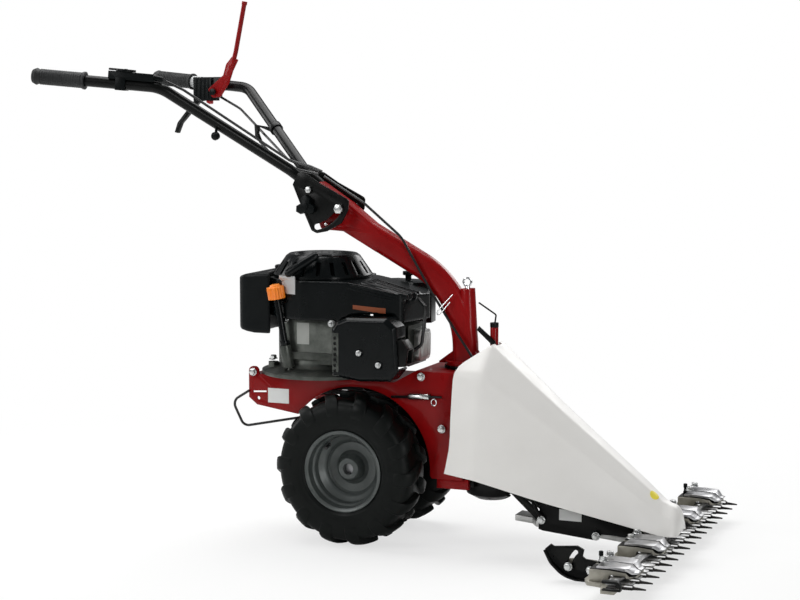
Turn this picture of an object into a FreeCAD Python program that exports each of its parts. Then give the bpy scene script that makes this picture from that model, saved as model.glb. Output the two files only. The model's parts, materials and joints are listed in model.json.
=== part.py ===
import FreeCAD, Part
import Sketcher
import math
import os
from FreeCAD import Placement, Rotation, Vector

# Walk-behind sickle bar mower, in millimetres.
# X points forward, Y to the machine's left, Z up; the ground is z = 0 and the wheel axle is
# above x = 0 of the working frame, which frame_shift moves to the middle of the whole machine.

os.makedirs("parts", exist_ok=True)
doc = FreeCAD.newDocument("sickle_bar_mower")

X_AXIS = Vector(1, 0, 0)
Y_AXIS = Vector(0, 1, 0)
Z_AXIS = Vector(0, 0, 1)

# Driving dimensions
dimensions = {
    "frame_shift": 25,
    # wheels
    "axle_level": 165,
    "floor_lift": 6,
    "tyre_radius": 171,
    "tyre_carcass": 158,
    "tyre_half": 56,
    "wheel_offset": 112,
    "lug_count": 14,
    "rim_flange": 90.7,
    "rim_barrel": 84.2,
    "hub_bore": 12,
    "axle_radius": 11.5,
    "axle_end": 118,
    # chassis
    "chassis_half": 88,
    "sheet_gauge": 4,
    "deck_height": 357,
    "front_deck_height": 386,
    "wheel_arch": 177,
    "bolt_radius": 4,
    "nut_flats": 13,
    # engine
    "crank_place": -118,
    "flange_radius": 140,
    "dome_radius": 112,
    "dome_slots": 20,
    "dome_slot_width": 9,
    "fin_count": 6,
    "fin_pitch": 9,
    "fin_gauge": 3,
    "knurl_count": 18,
    # drive
    "gearbox_place": 30,
    "drive_place": 290,
    "belt_width": 10,
    "fit": 0.08,
    # column and handlebar
    "column_axis": 226,
    "column_depth": 56,
    "column_width": 36,
    "tube_radius": 12.5,
    "tube_bore": 10.5,
    "grip_radius": 17,
    "plate_inner": 43.6,
    "plate_gauge": 4,
    "pivot_radius": 5,
    "slot_radius": 85,
    "clamp_bolt": 6,
    # cutter
    "finger_pitch": 50.8,
    "finger_count": 17,
    "finger_width": 7.6,
    "bar_half": 430,
    "bar_gauge": 8,
    "section_gauge": 3,
    "knife_back": 20,
    "clamp_width": 90,
    "strap_width": 42,
    "skid_place": 245,
    "skid_gauge": 6,
    "carrier_half": 50,
    "lever_gauge": 9,
    "rocker_reach": 180,
}

sheet = doc.addObject("Spreadsheet::Sheet", "sizes")
for row, (alias, value) in enumerate(dimensions.items(), start=1):
    sheet.set("A%d" % row, alias)
    sheet.set("B%d" % row, str(value))
    sheet.setAlias("B%d" % row, alias)
doc.recompute()

nodes = {}


def size(alias):
    return float(sheet.get(alias))


def at(x=0, y=0, z=0, axis=Z_AXIS, angle=0):
    return Placement(Vector(x - size("frame_shift"), y, z + size("floor_lift")), Rotation(axis, angle))


def keep(name, item):
    item.Label = name
    nodes[name] = item
    return item


# Outlines: a corner is (x, y) or (x, y, radius), and a rounded corner becomes an arc
def rounded_path(points, radii, closed):
    count = len(points)
    joints = []
    for i, corner in enumerate(points):
        radius = radii[i]
        free_end = not closed and i in (0, count - 1)
        if radius <= 0 or free_end:
            joints.append((corner, None, corner))
            continue
        back = (points[i - 1] - corner).normalize()
        ahead = (points[(i + 1) % count] - corner).normalize()
        half = back.getAngle(ahead) / 2
        reach = radius / math.tan(half)
        centre = corner + (back + ahead).normalize() * (radius / math.sin(half))
        middle = centre + (corner - centre).normalize() * radius
        joints.append((corner + back * reach, middle, corner + ahead * reach))
    pieces = []
    for i in range(count):
        first, middle, last = joints[i]
        if middle is not None:
            pieces.append(Part.Arc(first, middle, last))
        if i < count - 1 or closed:
            start = joints[(i + 1) % count][0]
            if last.distanceToPoint(start) > 1e-6:
                pieces.append(Part.LineSegment(last, start))
    return pieces


def outline(corners, closed=True):
    points = [Vector(c[0], c[1], 0) for c in corners]
    radii = [c[2] if len(c) > 2 else 0 for c in corners]
    return rounded_path(points, radii, closed)


def mirrored(corners):
    return list(corners) + [(-c[0],) + tuple(c[1:]) for c in reversed(corners)]


def arc_slot(centre, radius, half_width, start, end):
    cx, cy = centre

    def point(r, degrees):
        a = math.radians(degrees)
        return Vector(cx + r * math.cos(a), cy + r * math.sin(a), 0)

    middle = (start + end) / 2
    turn = math.degrees(half_width / radius)
    inner, outer = radius - half_width, radius + half_width
    return [
        Part.Arc(point(outer, start), point(outer, middle), point(outer, end)),
        Part.Arc(point(outer, end), point(radius, end + turn), point(inner, end)),
        Part.Arc(point(inner, end), point(inner, middle), point(inner, start)),
        Part.Arc(point(inner, start), point(radius, start - turn), point(outer, start)),
    ]


# Sketches and PartDesign features
def new_body(name):
    return doc.addObject("PartDesign::Body", name)


def origin_part(body, role):
    return next(part for part in body.Origin.OriginFeatures if part.Role == role)


def sketch_on(body, name, role, offset=0.0):
    sketch = body.newObject("Sketcher::SketchObject", name)
    sketch.AttachmentSupport = [(origin_part(body, role), "")]
    sketch.MapMode = "FlatFace"
    sketch.AttachmentOffset = Placement(Vector(0, 0, offset), Rotation())
    return sketch


def draw(sketch, pieces):
    first = sketch.GeometryCount
    sketch.addGeometry(pieces, False)
    count = len(pieces)
    for i in range(count):
        one = first + i
        other = first + (i + 1) % count
        pairs = [(a, b) for a in (1, 2) for b in (1, 2)]
        gaps = [sketch.getPoint(one, a).distanceToPoint(sketch.getPoint(other, b)) for a, b in pairs]
        if count > 2 and min(gaps) < 1e-5:
            a, b = pairs[gaps.index(min(gaps))]
            sketch.addConstraint(Sketcher.Constraint("Coincident", one, a, other, b))


def draw_circle(sketch, x, y, alias):
    index = sketch.addGeometry(Part.Circle(Vector(x, y, 0), Z_AXIS, size(alias)), False)
    bound = sketch.addConstraint(Sketcher.Constraint("Radius", index, size(alias)))
    sketch.setExpression("Constraints[%d]" % bound, "sizes." + alias)


def pad(body, name, sketch, length, symmetric=False, reverse=False):
    feature = body.newObject("PartDesign::Pad", name)
    feature.Profile = sketch
    if symmetric:
        feature.SideType = "Symmetric"
    feature.Reversed = reverse
    if isinstance(length, str):
        feature.setExpression("Length", length)
    else:
        feature.Length = length
    body.Tip = feature
    return feature


def pocket(body, name, sketch, length, symmetric=False, reverse=False):
    feature = body.newObject("PartDesign::Pocket", name)
    feature.Profile = sketch
    if symmetric:
        feature.SideType = "Symmetric"
    feature.Reversed = reverse
    feature.Length = length
    body.Tip = feature
    return feature


def revolve(body, name, sketch, axis):
    feature = body.newObject("PartDesign::Revolution", name)
    feature.Profile = sketch
    feature.ReferenceAxis = (sketch, [axis])
    feature.Angle = 360
    body.Tip = feature
    return feature


def polar(body, name, feature, role, count_alias):
    pattern = body.newObject("PartDesign::PolarPattern", name)
    pattern.Originals = [feature]
    pattern.Axis = (origin_part(body, role), [""])
    pattern.Angle = 360
    pattern.setExpression("Occurrences", "sizes." + count_alias)
    body.Tip = pattern
    return pattern


def linear(body, name, feature, role, length, count, reverse=False):
    pattern = body.newObject("PartDesign::LinearPattern", name)
    pattern.Originals = [feature]
    pattern.Direction = (origin_part(body, role), [""])
    pattern.Reversed = reverse
    pattern.Length = length
    pattern.Occurrences = count
    body.Tip = pattern
    return pattern


def flat_part(name, role, corners, length, place, symmetric=False, start=0.0, reverse=False, cuts=()):
    body = new_body(name)
    sketch = sketch_on(body, name + "_outline", role, start)
    draw(sketch, outline(corners))
    for cut in cuts:
        if isinstance(cut, tuple):
            draw_circle(sketch, *cut)
        else:
            draw(sketch, cut)
    pad(body, name + "_pad", sketch, length, symmetric, reverse)
    body.Placement = place
    return keep(name, body)


def turned_part(name, role, axis, corners, place):
    body = new_body(name)
    sketch = sketch_on(body, name + "_section", role)
    draw(sketch, outline(corners))
    revolve(body, name + "_turn", sketch, axis)
    body.Placement = place
    return keep(name, body)


# Plain Part helpers
def shape_part(name, shape, place=None):
    feature = doc.addObject("Part::Feature", name)
    own = shape.Placement
    feature.Shape = shape
    feature.Placement = (place if place else at()).multiply(own)
    return keep(name, feature)


def spine(points, bend):
    places = [Vector(*p) for p in points]
    radii = [bend] * len(places)
    return Part.Wire([piece.toShape() for piece in rounded_path(places, radii, False)])


def tube(points, bend, radius):
    path = spine(points, bend)
    start = Vector(*points[0])
    ahead = Vector(*points[1]) - start
    ring = Part.Face(Part.Wire([Part.Circle(start, ahead, radius).toShape()]))
    solid = path.makePipe(ring)
    expected = math.pi * radius**2 * path.Length
    if abs(solid.Volume / expected - 1) > 0.02:
        raise RuntimeError("a swept tube has the wrong volume")
    return solid


def rod(start, end, radius):
    first = Vector(*start)
    ahead = Vector(*end) - first
    return Part.makeCylinder(radius, ahead.Length, first, ahead)


def prism(corners, axis, low, high):
    # corners lie in the plane across axis: (y, z), (x, z) or (x, y)
    if axis == "y":
        lift = [Vector(c[0], low, c[1]) for c in corners]
        along = Vector(0, high - low, 0)
    elif axis == "x":
        lift = [Vector(low, c[0], c[1]) for c in corners]
        along = Vector(high - low, 0, 0)
    else:
        lift = [Vector(c[0], c[1], low) for c in corners]
        along = Vector(0, 0, high - low)
    radii = [c[2] if len(c) > 2 else 0 for c in corners]
    edges = [piece.toShape() for piece in rounded_path(lift, radii, True)]
    return Part.Face(Part.Wire(edges)).extrude(along)


def block(x0, y0, z0, x1, y1, z1):
    return Part.makeBox(x1 - x0, y1 - y0, z1 - z0, Vector(x0, y0, z0))


def lathe(corners, x, y, axis="z"):
    # corners are (radius, height) round an upright axis through x, y
    points = [Vector(c[0], 0, c[1]) for c in corners]
    radii = [c[2] if len(c) > 2 else 0 for c in corners]
    edges = [piece.toShape() for piece in rounded_path(points, radii, True)]
    solid = Part.Face(Part.Wire(edges)).revolve(Vector(0, 0, 0), Z_AXIS, 360)
    solid.translate(Vector(x, y, 0))
    return solid


def joined(*shapes):
    whole = shapes[0].fuse(list(shapes[1:])) if len(shapes) > 1 else shapes[0]
    return whole.removeSplitter()


def rounded(shape, radius, pick):
    edges = [edge for edge in shape.Edges if pick(edge)]
    return shape.makeFillet(radius, edges)


def upright(edge):
    return len(edge.Vertexes) == 2 and abs(edge.tangentAt(edge.FirstParameter).z) > 0.99


# Wheels: tractor tyre, pressed steel rim and live axle
def turned_on_axle(corners):
    # corners are (distance along the axle, radius)
    points = [Vector(0, c[0], c[1]) for c in corners]
    ring = Part.makePolygon(points + points[:1])
    return Part.Face(Part.Wire(ring)).revolve(Vector(0, 0, 0), Y_AXIS, 360)


def tyre(name, side):
    half = size("tyre_half")
    carcass = size("tyre_carcass")
    top = size("tyre_radius")
    wall = [(49.2, 84.6), (49.2, 91.2), (54, 94.5), (half, 108), (half - 1, 134), (half - 7, 149), (18, carcass)]
    body = turned_on_axle(mirrored(wall))
    tread = [(half - 7, 120), (half - 0.3, 136), (half - 3, 151), (half - 11, 163), (28, top - 1.4), (9, top - 0.2)]
    crown = turned_on_axle(mirrored(tread))
    lugs = []
    count = int(size("lug_count"))
    for hand in (1, -1):
        plan = [(-29, 1), (-9, 1), (10, 26), (27, half + 1), (-7, half + 1), (-14, 28)]
        bar = prism([(x, hand * y) for x, y in plan], "z", 124, top + 6)
        for i in range(count):
            lug = bar.copy()
            lug.rotate(Vector(0, 0, 0), Y_AXIS, (i + (0 if hand > 0 else 0.5)) * 360 / count)
            lugs.append(lug)
    row = lugs[0].fuse(lugs[1:]).common(crown)
    spin = 8 if side > 0 else 0
    place = at(0, side * size("wheel_offset"), size("axle_level"), Y_AXIS, spin)
    return shape_part(name, joined(body, row), place)


def rim(name, side):
    # outer side at negative width, as the right wheel has it
    flange = size("rim_flange")
    barrel = size("rim_barrel")
    bore = size("hub_bore")
    corners = [
        (-53, flange),
        (-49.6, flange),
        (-49.6, barrel),
        (49.6, barrel),
        (49.6, flange),
        (53, flange),
        (50.6, 81.5),
        (-26, 79),
        (-5, 71),
        (13, 58),
        (13, 38),
        (26, 28),
        (26, bore),
        (-20, bore),
        (-20, 23),
        (8, 38),
        (7, 58),
        (-9, 64),
        (-12, 73),
        (-30, 75),
        (-33, 79.5),
        (-50.6, 81.5),
    ]
    turn = 0 if side < 0 else 180
    place = at(0, side * size("wheel_offset"), size("axle_level"), Z_AXIS, turn)
    return turned_part(name, "YZ_Plane", "H_Axis", corners, place)


tyre("tyre_right", -1)
tyre("tyre_left", 1)
rim("rim_right", -1)
rim("rim_left", 1)

axle_corners = [
    (-size("axle_end"), 0),
    (-size("axle_end"), size("axle_radius")),
    (-84, size("axle_radius")),
    (-84, 18),
    (-74, 18),
    (-74, size("axle_radius")),
    (74, size("axle_radius")),
    (74, 18),
    (84, 18),
    (84, size("axle_radius")),
    (size("axle_end"), size("axle_radius")),
    (size("axle_end"), 0),
]
turned_part("axle", "YZ_Plane", "H_Axis", axle_corners, at(0, 0, size("axle_level")))


# Gearbox between the wheels: barrel across the axle, neck up to the deck
def gearbox():
    level = size("axle_level")
    place = size("gearbox_place")
    barrel = rod((0, -38, level), (0, 38, level), 50)
    sleeves = rod((0, -70, level), (0, 70, level), 23)
    neck = lathe([(0, level), (36, level), (32, 287), (46, 292), (46, 299), (0, 299)], place, 0)
    foot = prism([(-70, 200), (-70, 216), (20, 260), (20, 200)], "y", -14, 14)
    case = joined(barrel, sleeves, neck, foot)
    case = case.cut(rod((0, -75, level), (0, 75, level), size("axle_radius") + size("fit")))
    case = case.cut(Part.makeCylinder(8 + size("fit"), 120, Vector(place, 0, 250)))
    return shape_part("gearbox_case", case)


gearbox()


# Chassis: one welded frame, an engine deck that rises to a front box, with arched side sheets
def chassis():
    body = new_body("chassis")
    deck = size("deck_height")
    front = size("front_deck_height")
    gauge = size("sheet_gauge")
    half = size("chassis_half")
    deck_sketch = sketch_on(body, "deck_section", "XZ_Plane")
    top = [(-256, deck), (92, deck), (144, front), (252, front - 2)]
    under = [(x, z - gauge) for x, z in reversed(top)]
    draw(deck_sketch, outline(top + under))
    pad(body, "deck", deck_sketch, 2 * half, symmetric=True)
    axle_level = size("axle_level")
    arch = size("wheel_arch")
    side = [
        Vector(-256, deck, 0),
        Vector(92, deck, 0),
        Vector(144, front, 0),
        Vector(252, front - 2, 0),
        Vector(252, 150, 0),
        Vector(arch + 4, 150, 0),
    ]
    low_start = Vector(arch * math.cos(math.radians(-3)), axle_level + arch * math.sin(math.radians(-3)), 0)
    low_mid = Vector(arch * math.cos(math.radians(70)), axle_level + arch * math.sin(math.radians(70)), 0)
    low_end = Vector(arch * math.cos(math.radians(143)), axle_level + arch * math.sin(math.radians(143)), 0)
    rear_corners = [(low_end.x, low_end.y), (-244, 287), (-264, 303), (-264, 374, 11), (-240, 374, 10), (-238, deck)]
    rear = outline(rear_corners, closed=False)
    pieces = [Part.LineSegment(Vector(-238, deck, 0), side[1])]
    pieces += [Part.LineSegment(a, b) for a, b in zip(side[1:], side[2:])]
    pieces += [Part.LineSegment(side[-1], low_start), Part.Arc(low_start, low_mid, low_end)]
    for hand in (-1, 1):
        start = half - gauge if hand < 0 else -half
        sheet_sketch = sketch_on(body, "side_%s" % ("right" if hand < 0 else "left"), "XZ_Plane", start)
        draw(sheet_sketch, pieces + rear)
        draw_circle(sheet_sketch, -250, 362, "bolt_radius")
        draw_circle(sheet_sketch, -240, 302, "bolt_radius")
        draw(sheet_sketch, outline([(-254, 314), (-220, 316), (-220, 320), (-254, 318)]))
        pad(body, sheet_sketch.Name + "_sheet", sheet_sketch, "sizes.sheet_gauge")
    opening = sketch_on(body, "crank_opening", "XY_Plane", deck + 5)
    draw(opening, outline([(-150, -32), (-86, -32), (-86, 32), (-150, 32)]))
    pocket(body, "crank_hole", opening, 20)
    shelf = sketch_on(body, "post_shelf", "XY_Plane", front - 6)
    draw(shelf, outline([(251, -22), (300, -16, 8), (300, 16, 8), (251, 22)]))
    pad(body, "post_shelf_plate", shelf, "sizes.sheet_gauge")
    body.Placement = at()
    return keep("chassis", body)


chassis()


# Lower arms of the front, square tube on each side
def lower_arms():
    arms = []
    for hand in (-1, 1):
        y = hand * 77.4
        arms.append(block(191, y - 6, 129, 264, y + 6, 152))
    return shape_part("lower_arms", Part.makeCompound(arms))


lower_arms()


# Engine
crank = size("crank_place")
belt_levels = (318, 336)


def crankcase():
    r = size("flange_radius")
    deck = size("deck_height") + 0.2
    skirt = lathe([(0, deck), (r, deck), (r, deck + 8), (104, deck + 19), (96, deck + 28), (92, deck + 40), (0, deck + 40)], crank, 0)
    case = block(crank - 76, -92, deck + 30, crank + 84, 92, 488)
    case = rounded(case, 22, upright)
    barrel = block(crank + 80, -46, deck + 44, 62, 46, 478)
    lugs = []
    for degrees in (30, 149, 211, 330):
        a = math.radians(degrees)
        lugs.append(prism(hexagon(crank + 114 * math.cos(a), 114 * math.sin(a), 13), "z", deck, deck + 26))
    step = block(crank - 40, -98, deck + 40, crank + 84, -90, deck + 56)
    foot = stick_rod(0, 50, 12.5)
    whole = joined(skirt, case, barrel, foot, step, *lugs)
    whole = whole.cut(stick_rod(-30, 61, 8))
    whole = whole.cut(Part.makeCylinder(13, 200, Vector(crank, 0, deck - 1)))
    return shape_part("crankcase", whole)


def hexagon(x, y, r):
    turns = [math.radians(60 * i) for i in range(6)]
    return [(x + r * math.cos(a), y + r * math.sin(a)) for a in turns]


def stick_rod(start, end, radius):
    # a round bar on the leaning axis of the oil filler, measured up from the crankcase
    foot = Vector(-156, -104, 380)
    way = Vector(-21, -16, 158).normalize()
    return rod(tuple(foot + way * start), tuple(foot + way * end), radius)


def cylinder_head():
    level = 432
    core = block(62.3, -34, level - 36, 118, 34, level + 36)
    fins = []
    for i in range(int(size("fin_count"))):
        x = 64 + i * size("fin_pitch")
        fins.append(block(x, -52, level - 44, x + size("fin_gauge"), 52, level + 46))
    return shape_part("cylinder_head", joined(core, *fins))


def valve_cover():
    level = 432
    plate = block(118.2, -36, level - 34, 130, 36, level + 34)
    plate = rounded(plate, 16, lambda e: abs(e.tangentAt(0).x) > 0.9)
    ribs = [block(130, y - 2, level - 26, 134, y + 2, level + 26) for y in (-20, -10, 0, 10, 20)]
    return shape_part("valve_cover", joined(plate, *ribs))


def fuel_tank():
    body = new_body("fuel_tank")
    plan = sketch_on(body, "fuel_tank_plan", "XY_Plane", 450)
    near = math.sqrt(126**2 - 92**2)
    hollow = Part.Arc(Vector(crank - near, 92, 0), Vector(crank - 126, 0, 0), Vector(crank - near, -92, 0))
    corners = [(crank - near, -92), (-291, -92, 28), (-302, 0, 200), (-291, 92, 28), (crank - near, 92)]
    walls = outline(corners, closed=False)
    draw(plan, walls + [hollow])
    pad(body, "fuel_tank_pad", plan, 139)
    slope = sketch_on(body, "fuel_tank_slope", "XZ_Plane")
    draw(slope, outline([(-320, 640), (-320, 567), (-270, 583.4), (-190, 589.5), (-190, 640)]))
    pocket(body, "fuel_tank_top", slope, 300, symmetric=True)
    under = sketch_on(body, "fuel_tank_under", "XZ_Plane")
    draw(under, outline([(-320, 440), (-320, 462), (-250, 449.5), (-250, 440)]))
    pocket(body, "fuel_tank_bottom", under, 300, symmetric=True)
    neck = sketch_on(body, "fuel_tank_neck", "XY_Plane", 600)
    neck.addGeometry(Part.Circle(Vector(-242, 50, 0), Z_AXIS, 15), False)
    pocket(body, "fuel_tank_mouth", neck, 30)
    body.Placement = at()
    return keep("fuel_tank", body)


def fuel_cap():
    # leans with the tank's top, and its neck plugs into it
    cap = lathe([(0, -8), (14, -8), (14, 0.2), (20, 0.2), (20, 6), (17, 8), (0, 8)], 0, 0)
    cap.Placement = Placement(Vector(-242, 50, 586.2), Rotation(Y_AXIS, -4.03))
    return shape_part("fuel_cap", cap)


def dipstick():
    # a cap with gripping teeth, and the flat stick inside the filler tube
    teeth = []
    count = int(size("knurl_count"))
    for i in range(2 * count):
        a = math.radians(i * 180 / count)
        r = 19.6 if i % 2 else 17
        teeth.append((r * math.cos(a), r * math.sin(a)))
    cap = prism(teeth, "z", 0, 27)
    button = lathe([(0, 27), (13, 27), (10, 32), (0, 32)], 0, 0)
    stick = block(-3, -1.5, -150, 3, 1.5, 1)
    whole = joined(cap, button, stick)
    foot = Vector(-156, -104, 380)
    way = Vector(-21, -16, 158).normalize()
    whole.Placement = Placement(foot + way * 156, Rotation(Z_AXIS, way))
    return shape_part("dipstick", whole)


def dipstick_tube():
    pipe = stick_rod(30, 155.6, 7.6)
    collar = stick_rod(50.4, 60, 11)
    base = joined(pipe, collar).cut(stick_rod(30, 160, 5.2))
    return shape_part("dipstick_tube", base)


def engine_shroud():
    plan = [
        (crank - 60, -108, 50),
        (crank, -124),
        (60, -110, 30),
        (112, -90, 14),
        (132, 24, 16),
        (116, 64),
        (-40, 112),
        (crank - 20, 123),
        (crank - 104, 64),
        (crank - 104, -64),
    ]
    shell = prism(plan, "z", 489, 576)
    slope = prism([(-16, 577), (40, 568), (138, 543), (138, 600), (-16, 600)], "y", -150, 150)
    shell = shell.cut(slope)
    inner = [(x + (3 if x < 0 else -3), y * 0.965) for x, y, *r in plan]
    shell = shell.cut(prism(inner, "z", 480, 538))
    shell = shell.cut(Part.makeCylinder(96, 60, Vector(crank, 0, 520)))
    beside_filter = [(-31, 73), (85, 59, 22), (116, 82), (108, 146), (0, 162), (-36, 134)]
    shell = shell.cut(prism(beside_filter, "z", 466, 600))
    over_shield = [(-33, 370), (-33, 477.5), (-20, 496), (5, 506.5), (101.5, 508.5), (126, 488.5), (131, 370)]
    shell = shell.cut(prism(over_shield, "y", -170, -95))
    shell = shell.cut(stick_rod(146, 240, 22))
    shell = shell.cut(stick_rod(20, 160, 10))
    ridges = []
    for i in range(4):
        y = -84 + i * 24
        ridges.append(prism([(-4, 570), (20, 576.5), (122, 551), (124, 540), (-4, 540)], "y", y - 5, y + 5))
    return shape_part("engine_shroud", joined(shell, *ridges))


def recoil_housing():
    body = new_body("recoil_housing")
    base = 576.3
    r = size("dome_radius")
    section = sketch_on(body, "dome_section", "XZ_Plane")
    skin = [
        (r, base),
        (r, base + 6),
        (84, base + 47),
        (77, base + 52),
        (70, base + 51),
        (64, base + 45),
        (26, base + 45),
        (22, base + 49),
        (0, base + 49),
        (0, base + 40),
        (77, base + 40),
        (102, base + 5),
        (102, base),
    ]
    draw(section, outline(skin))
    revolve(body, "dome", section, "V_Axis")
    slot = sketch_on(body, "dome_slot", "YZ_Plane", 60)
    wide = size("dome_slot_width") / 2
    draw(slot, outline([(-wide, base + 10), (wide, base + 10), (wide, base + 37), (-wide, base + 37)]))
    cut = pocket(body, "dome_slot_cut", slot, 60, reverse=True)
    polar(body, "dome_slot_ring", cut, "Z_Axis", "dome_slots")
    body.Placement = at(crank, 0, 0)
    return keep("recoil_housing", body)


def groove_pulley(radius, low, high, grooves, x, depth=9.0, flare=7.0):
    corners = [(0, low), (radius, low)]
    for level in grooves:
        corners += [(radius, level - flare), (radius - depth, level - 5.5)]
        corners += [(radius - depth, level + 5.5), (radius, level + flare)]
    corners += [(radius, high), (0, high)]
    return lathe(corners, x, 0)


def crankshaft():
    # flywheel, shaft and the drive pulley on its lower end
    low, high = belt_levels
    corners = [(0, 490), (70, 490), (70, 534), (58, 534), (58, 606), (54, 606), (54, 540), (0, 540)]
    wheel = lathe(corners, crank, 0)
    shaft = Part.makeCylinder(12, 181, Vector(crank, 0, 309))
    return shape_part("crankshaft", joined(wheel, shaft, groove_pulley(34, 309, 345, (low, high), crank)))


def starter_handle():
    start = Vector(-153, -124, 588)
    ahead = Vector(-84, -100, 634) - start
    grip = lathe([(0, 0), (6, 0), (9.5, 6), (9.5, ahead.Length - 8), (5, ahead.Length), (0, ahead.Length)], 0, 0)
    grip.Placement = Placement(start, Rotation(Z_AXIS, ahead))
    return shape_part("starter_handle", grip)


def muffler_shield():
    # a deep cover whose vents stand in a row up its rear edge
    face = [(-30, 374), (-30, 476), (-18, 493), (6, 503), (100, 505), (122, 486), (128, 392), (108, 368), (36, 364)]
    cover = prism(face, "y", -156, -98)
    cover = cover.makeChamfer(7, [e for e in cover.Edges if all(abs(v.Point.y + 156) < 0.01 for v in e.Vertexes)])
    inside = [(x * 0.93 + 3, 437 + (z - 437) * 0.93) for x, z in face]
    cover = cover.cut(prism(inside, "y", -149, -90))
    for i in range(7):
        cover = cover.cut(block(-21, -165, 386 + i * 12, -15, -120, 392 + i * 12))
    for x, z in ((38, 428), (84, 404)):
        cover = cover.cut(prism(hexagon(x, z, 8), "y", -165, -153.6))
    cover = cover.cut(block(108, -148, 395, 150, -90, 461))
    return shape_part("muffler_shield", cover)


def muffler():
    can = prism([(-16, 382), (-16, 462), (10, 488), (96, 488), (106, 472), (106, 384)], "y", -145, -100)
    pipe = prism([(104, 398), (142, 402), (147, 440), (134, 458), (104, 458)], "y", -146, -108)
    pipe = pipe.cut(block(128, -139, 408, 150, -114, 436))
    return shape_part("muffler", joined(can, pipe))


def air_cleaner():
    plan = [(-28, 76), (84, 62, 22), (112, 84), (104, 142, 26), (0, 156), (-30, 130)]
    base = prism(plan, "z", 470, 545)
    lid = prism([(x * 0.97 + 1, y) + tuple(r) for x, y, *r in plan], "z", 547, 562)
    seal = prism([(x * 0.94 + 2, y) + tuple(r) for x, y, *r in plan], "z", 544, 548)
    knob = lathe([(0, 560), (7, 560), (7, 573), (13, 575), (13, 583), (0, 583)], 46, 108)
    neck = block(20, 53, 440, 60, 80, 474)
    return shape_part("air_cleaner", joined(base, neck, seal, lid, knob))


def spark_lead():
    lead = tube([(126, -30, 538), (150, -46, 520), (150, -70, 440), (97, -70, 408)], 16, 3.5)
    boot = rod((100, -71, 410), (87, -62.5, 399), 8)
    return shape_part("spark_lead", joined(lead, boot))


crankcase()
cylinder_head()
valve_cover()
fuel_tank()
fuel_cap()
dipstick()
dipstick_tube()
engine_shroud()
recoil_housing()
crankshaft()
starter_handle()
muffler_shield()
muffler()
air_cleaner()
spark_lead()


# Belt drive under the deck
def belt(x1, r1, x2, r2, level):
    # an open belt round two pulleys, both on the centre plane
    width = size("belt_width") / 2

    def loop(extra):
        a, b = r1 + extra, r2 + extra
        lean = math.acos((a - b) / (x2 - x1))
        near = [Vector(x1 + a * math.cos(lean), s * a * math.sin(lean), 0) for s in (1, -1)]
        far = [Vector(x2 + b * math.cos(lean), s * b * math.sin(lean), 0) for s in (1, -1)]
        edges = [
            Part.LineSegment(near[0], far[0]),
            Part.Arc(far[0], Vector(x2 + b, 0, 0), far[1]),
            Part.LineSegment(far[1], near[1]),
            Part.Arc(near[1], Vector(x1 - a, 0, 0), near[0]),
        ]
        face = Part.Face(Part.Wire([edge.toShape() for edge in edges]))
        face.translate(Vector(0, 0, level - width))
        return face.extrude(Vector(0, 0, 2 * width))

    return loop(8).cut(loop(0))


def drive():
    low, high = belt_levels
    gap = 0.4
    x = size("gearbox_place")
    wheel = groove_pulley(46, 309.5, 327, (low,), x)
    shaft = Part.makeCylinder(8, 46, Vector(x, 0, 264))
    shape_part("gearbox_pulley", joined(wheel, shaft))
    end = size("drive_place")
    blade_wheel = groove_pulley(50, 327, 345, (high,), end)
    blade_shaft = Part.makeCylinder(10, 160, Vector(end, 0, 168))
    shape_part("blade_drive_shaft", joined(blade_wheel, blade_shaft))
    first = belt(crank, 25 + gap, x, 37 + gap, low)
    second = belt(crank, 25 + gap, end, 41 + gap, high)
    return shape_part("drive_belts", Part.makeCompound([first, second]))


drive()


# Crank housing in front of the wheels, a bowl with a neck for the upright shaft
def crank_housing():
    x = size("drive_place")
    bowl = lathe([(0, 98), (34, 100), (56, 112), (62, 128), (62, 150), (40, 156), (32, 176), (30, 322), (0, 322)], x, 0)
    ears = block(x - 42, -71, 133, x - 18, 71, 147)
    back = block(252.4, -56, 176, 260.4, 56, 312)
    web = prism([(258, 190), (x, 160), (x, 300), (258, 300)], "y", -6, 6)
    housing = joined(bowl, ears, back, web)
    housing = housing.cut(Part.makeCylinder(10 + size("fit"), 160, Vector(x, 0, 168)))
    mouth = prism([(312, -24), (380, -38), (380, 38), (312, 24)], "z", 104, 128)
    return shape_part("crank_housing", housing.cut(mouth))


crank_housing()


# Pins of the handlebar's tilt, as (x, z): its pivot, and the clamp bolt in the curved slots
pivot = (-130, 773)
clamp = (-56, 732)
clamp_angle = math.degrees(math.atan2(clamp[1] - pivot[1], clamp[0] - pivot[0]))
clamp_reach = math.hypot(clamp[0] - pivot[0], clamp[1] - pivot[1])


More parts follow.
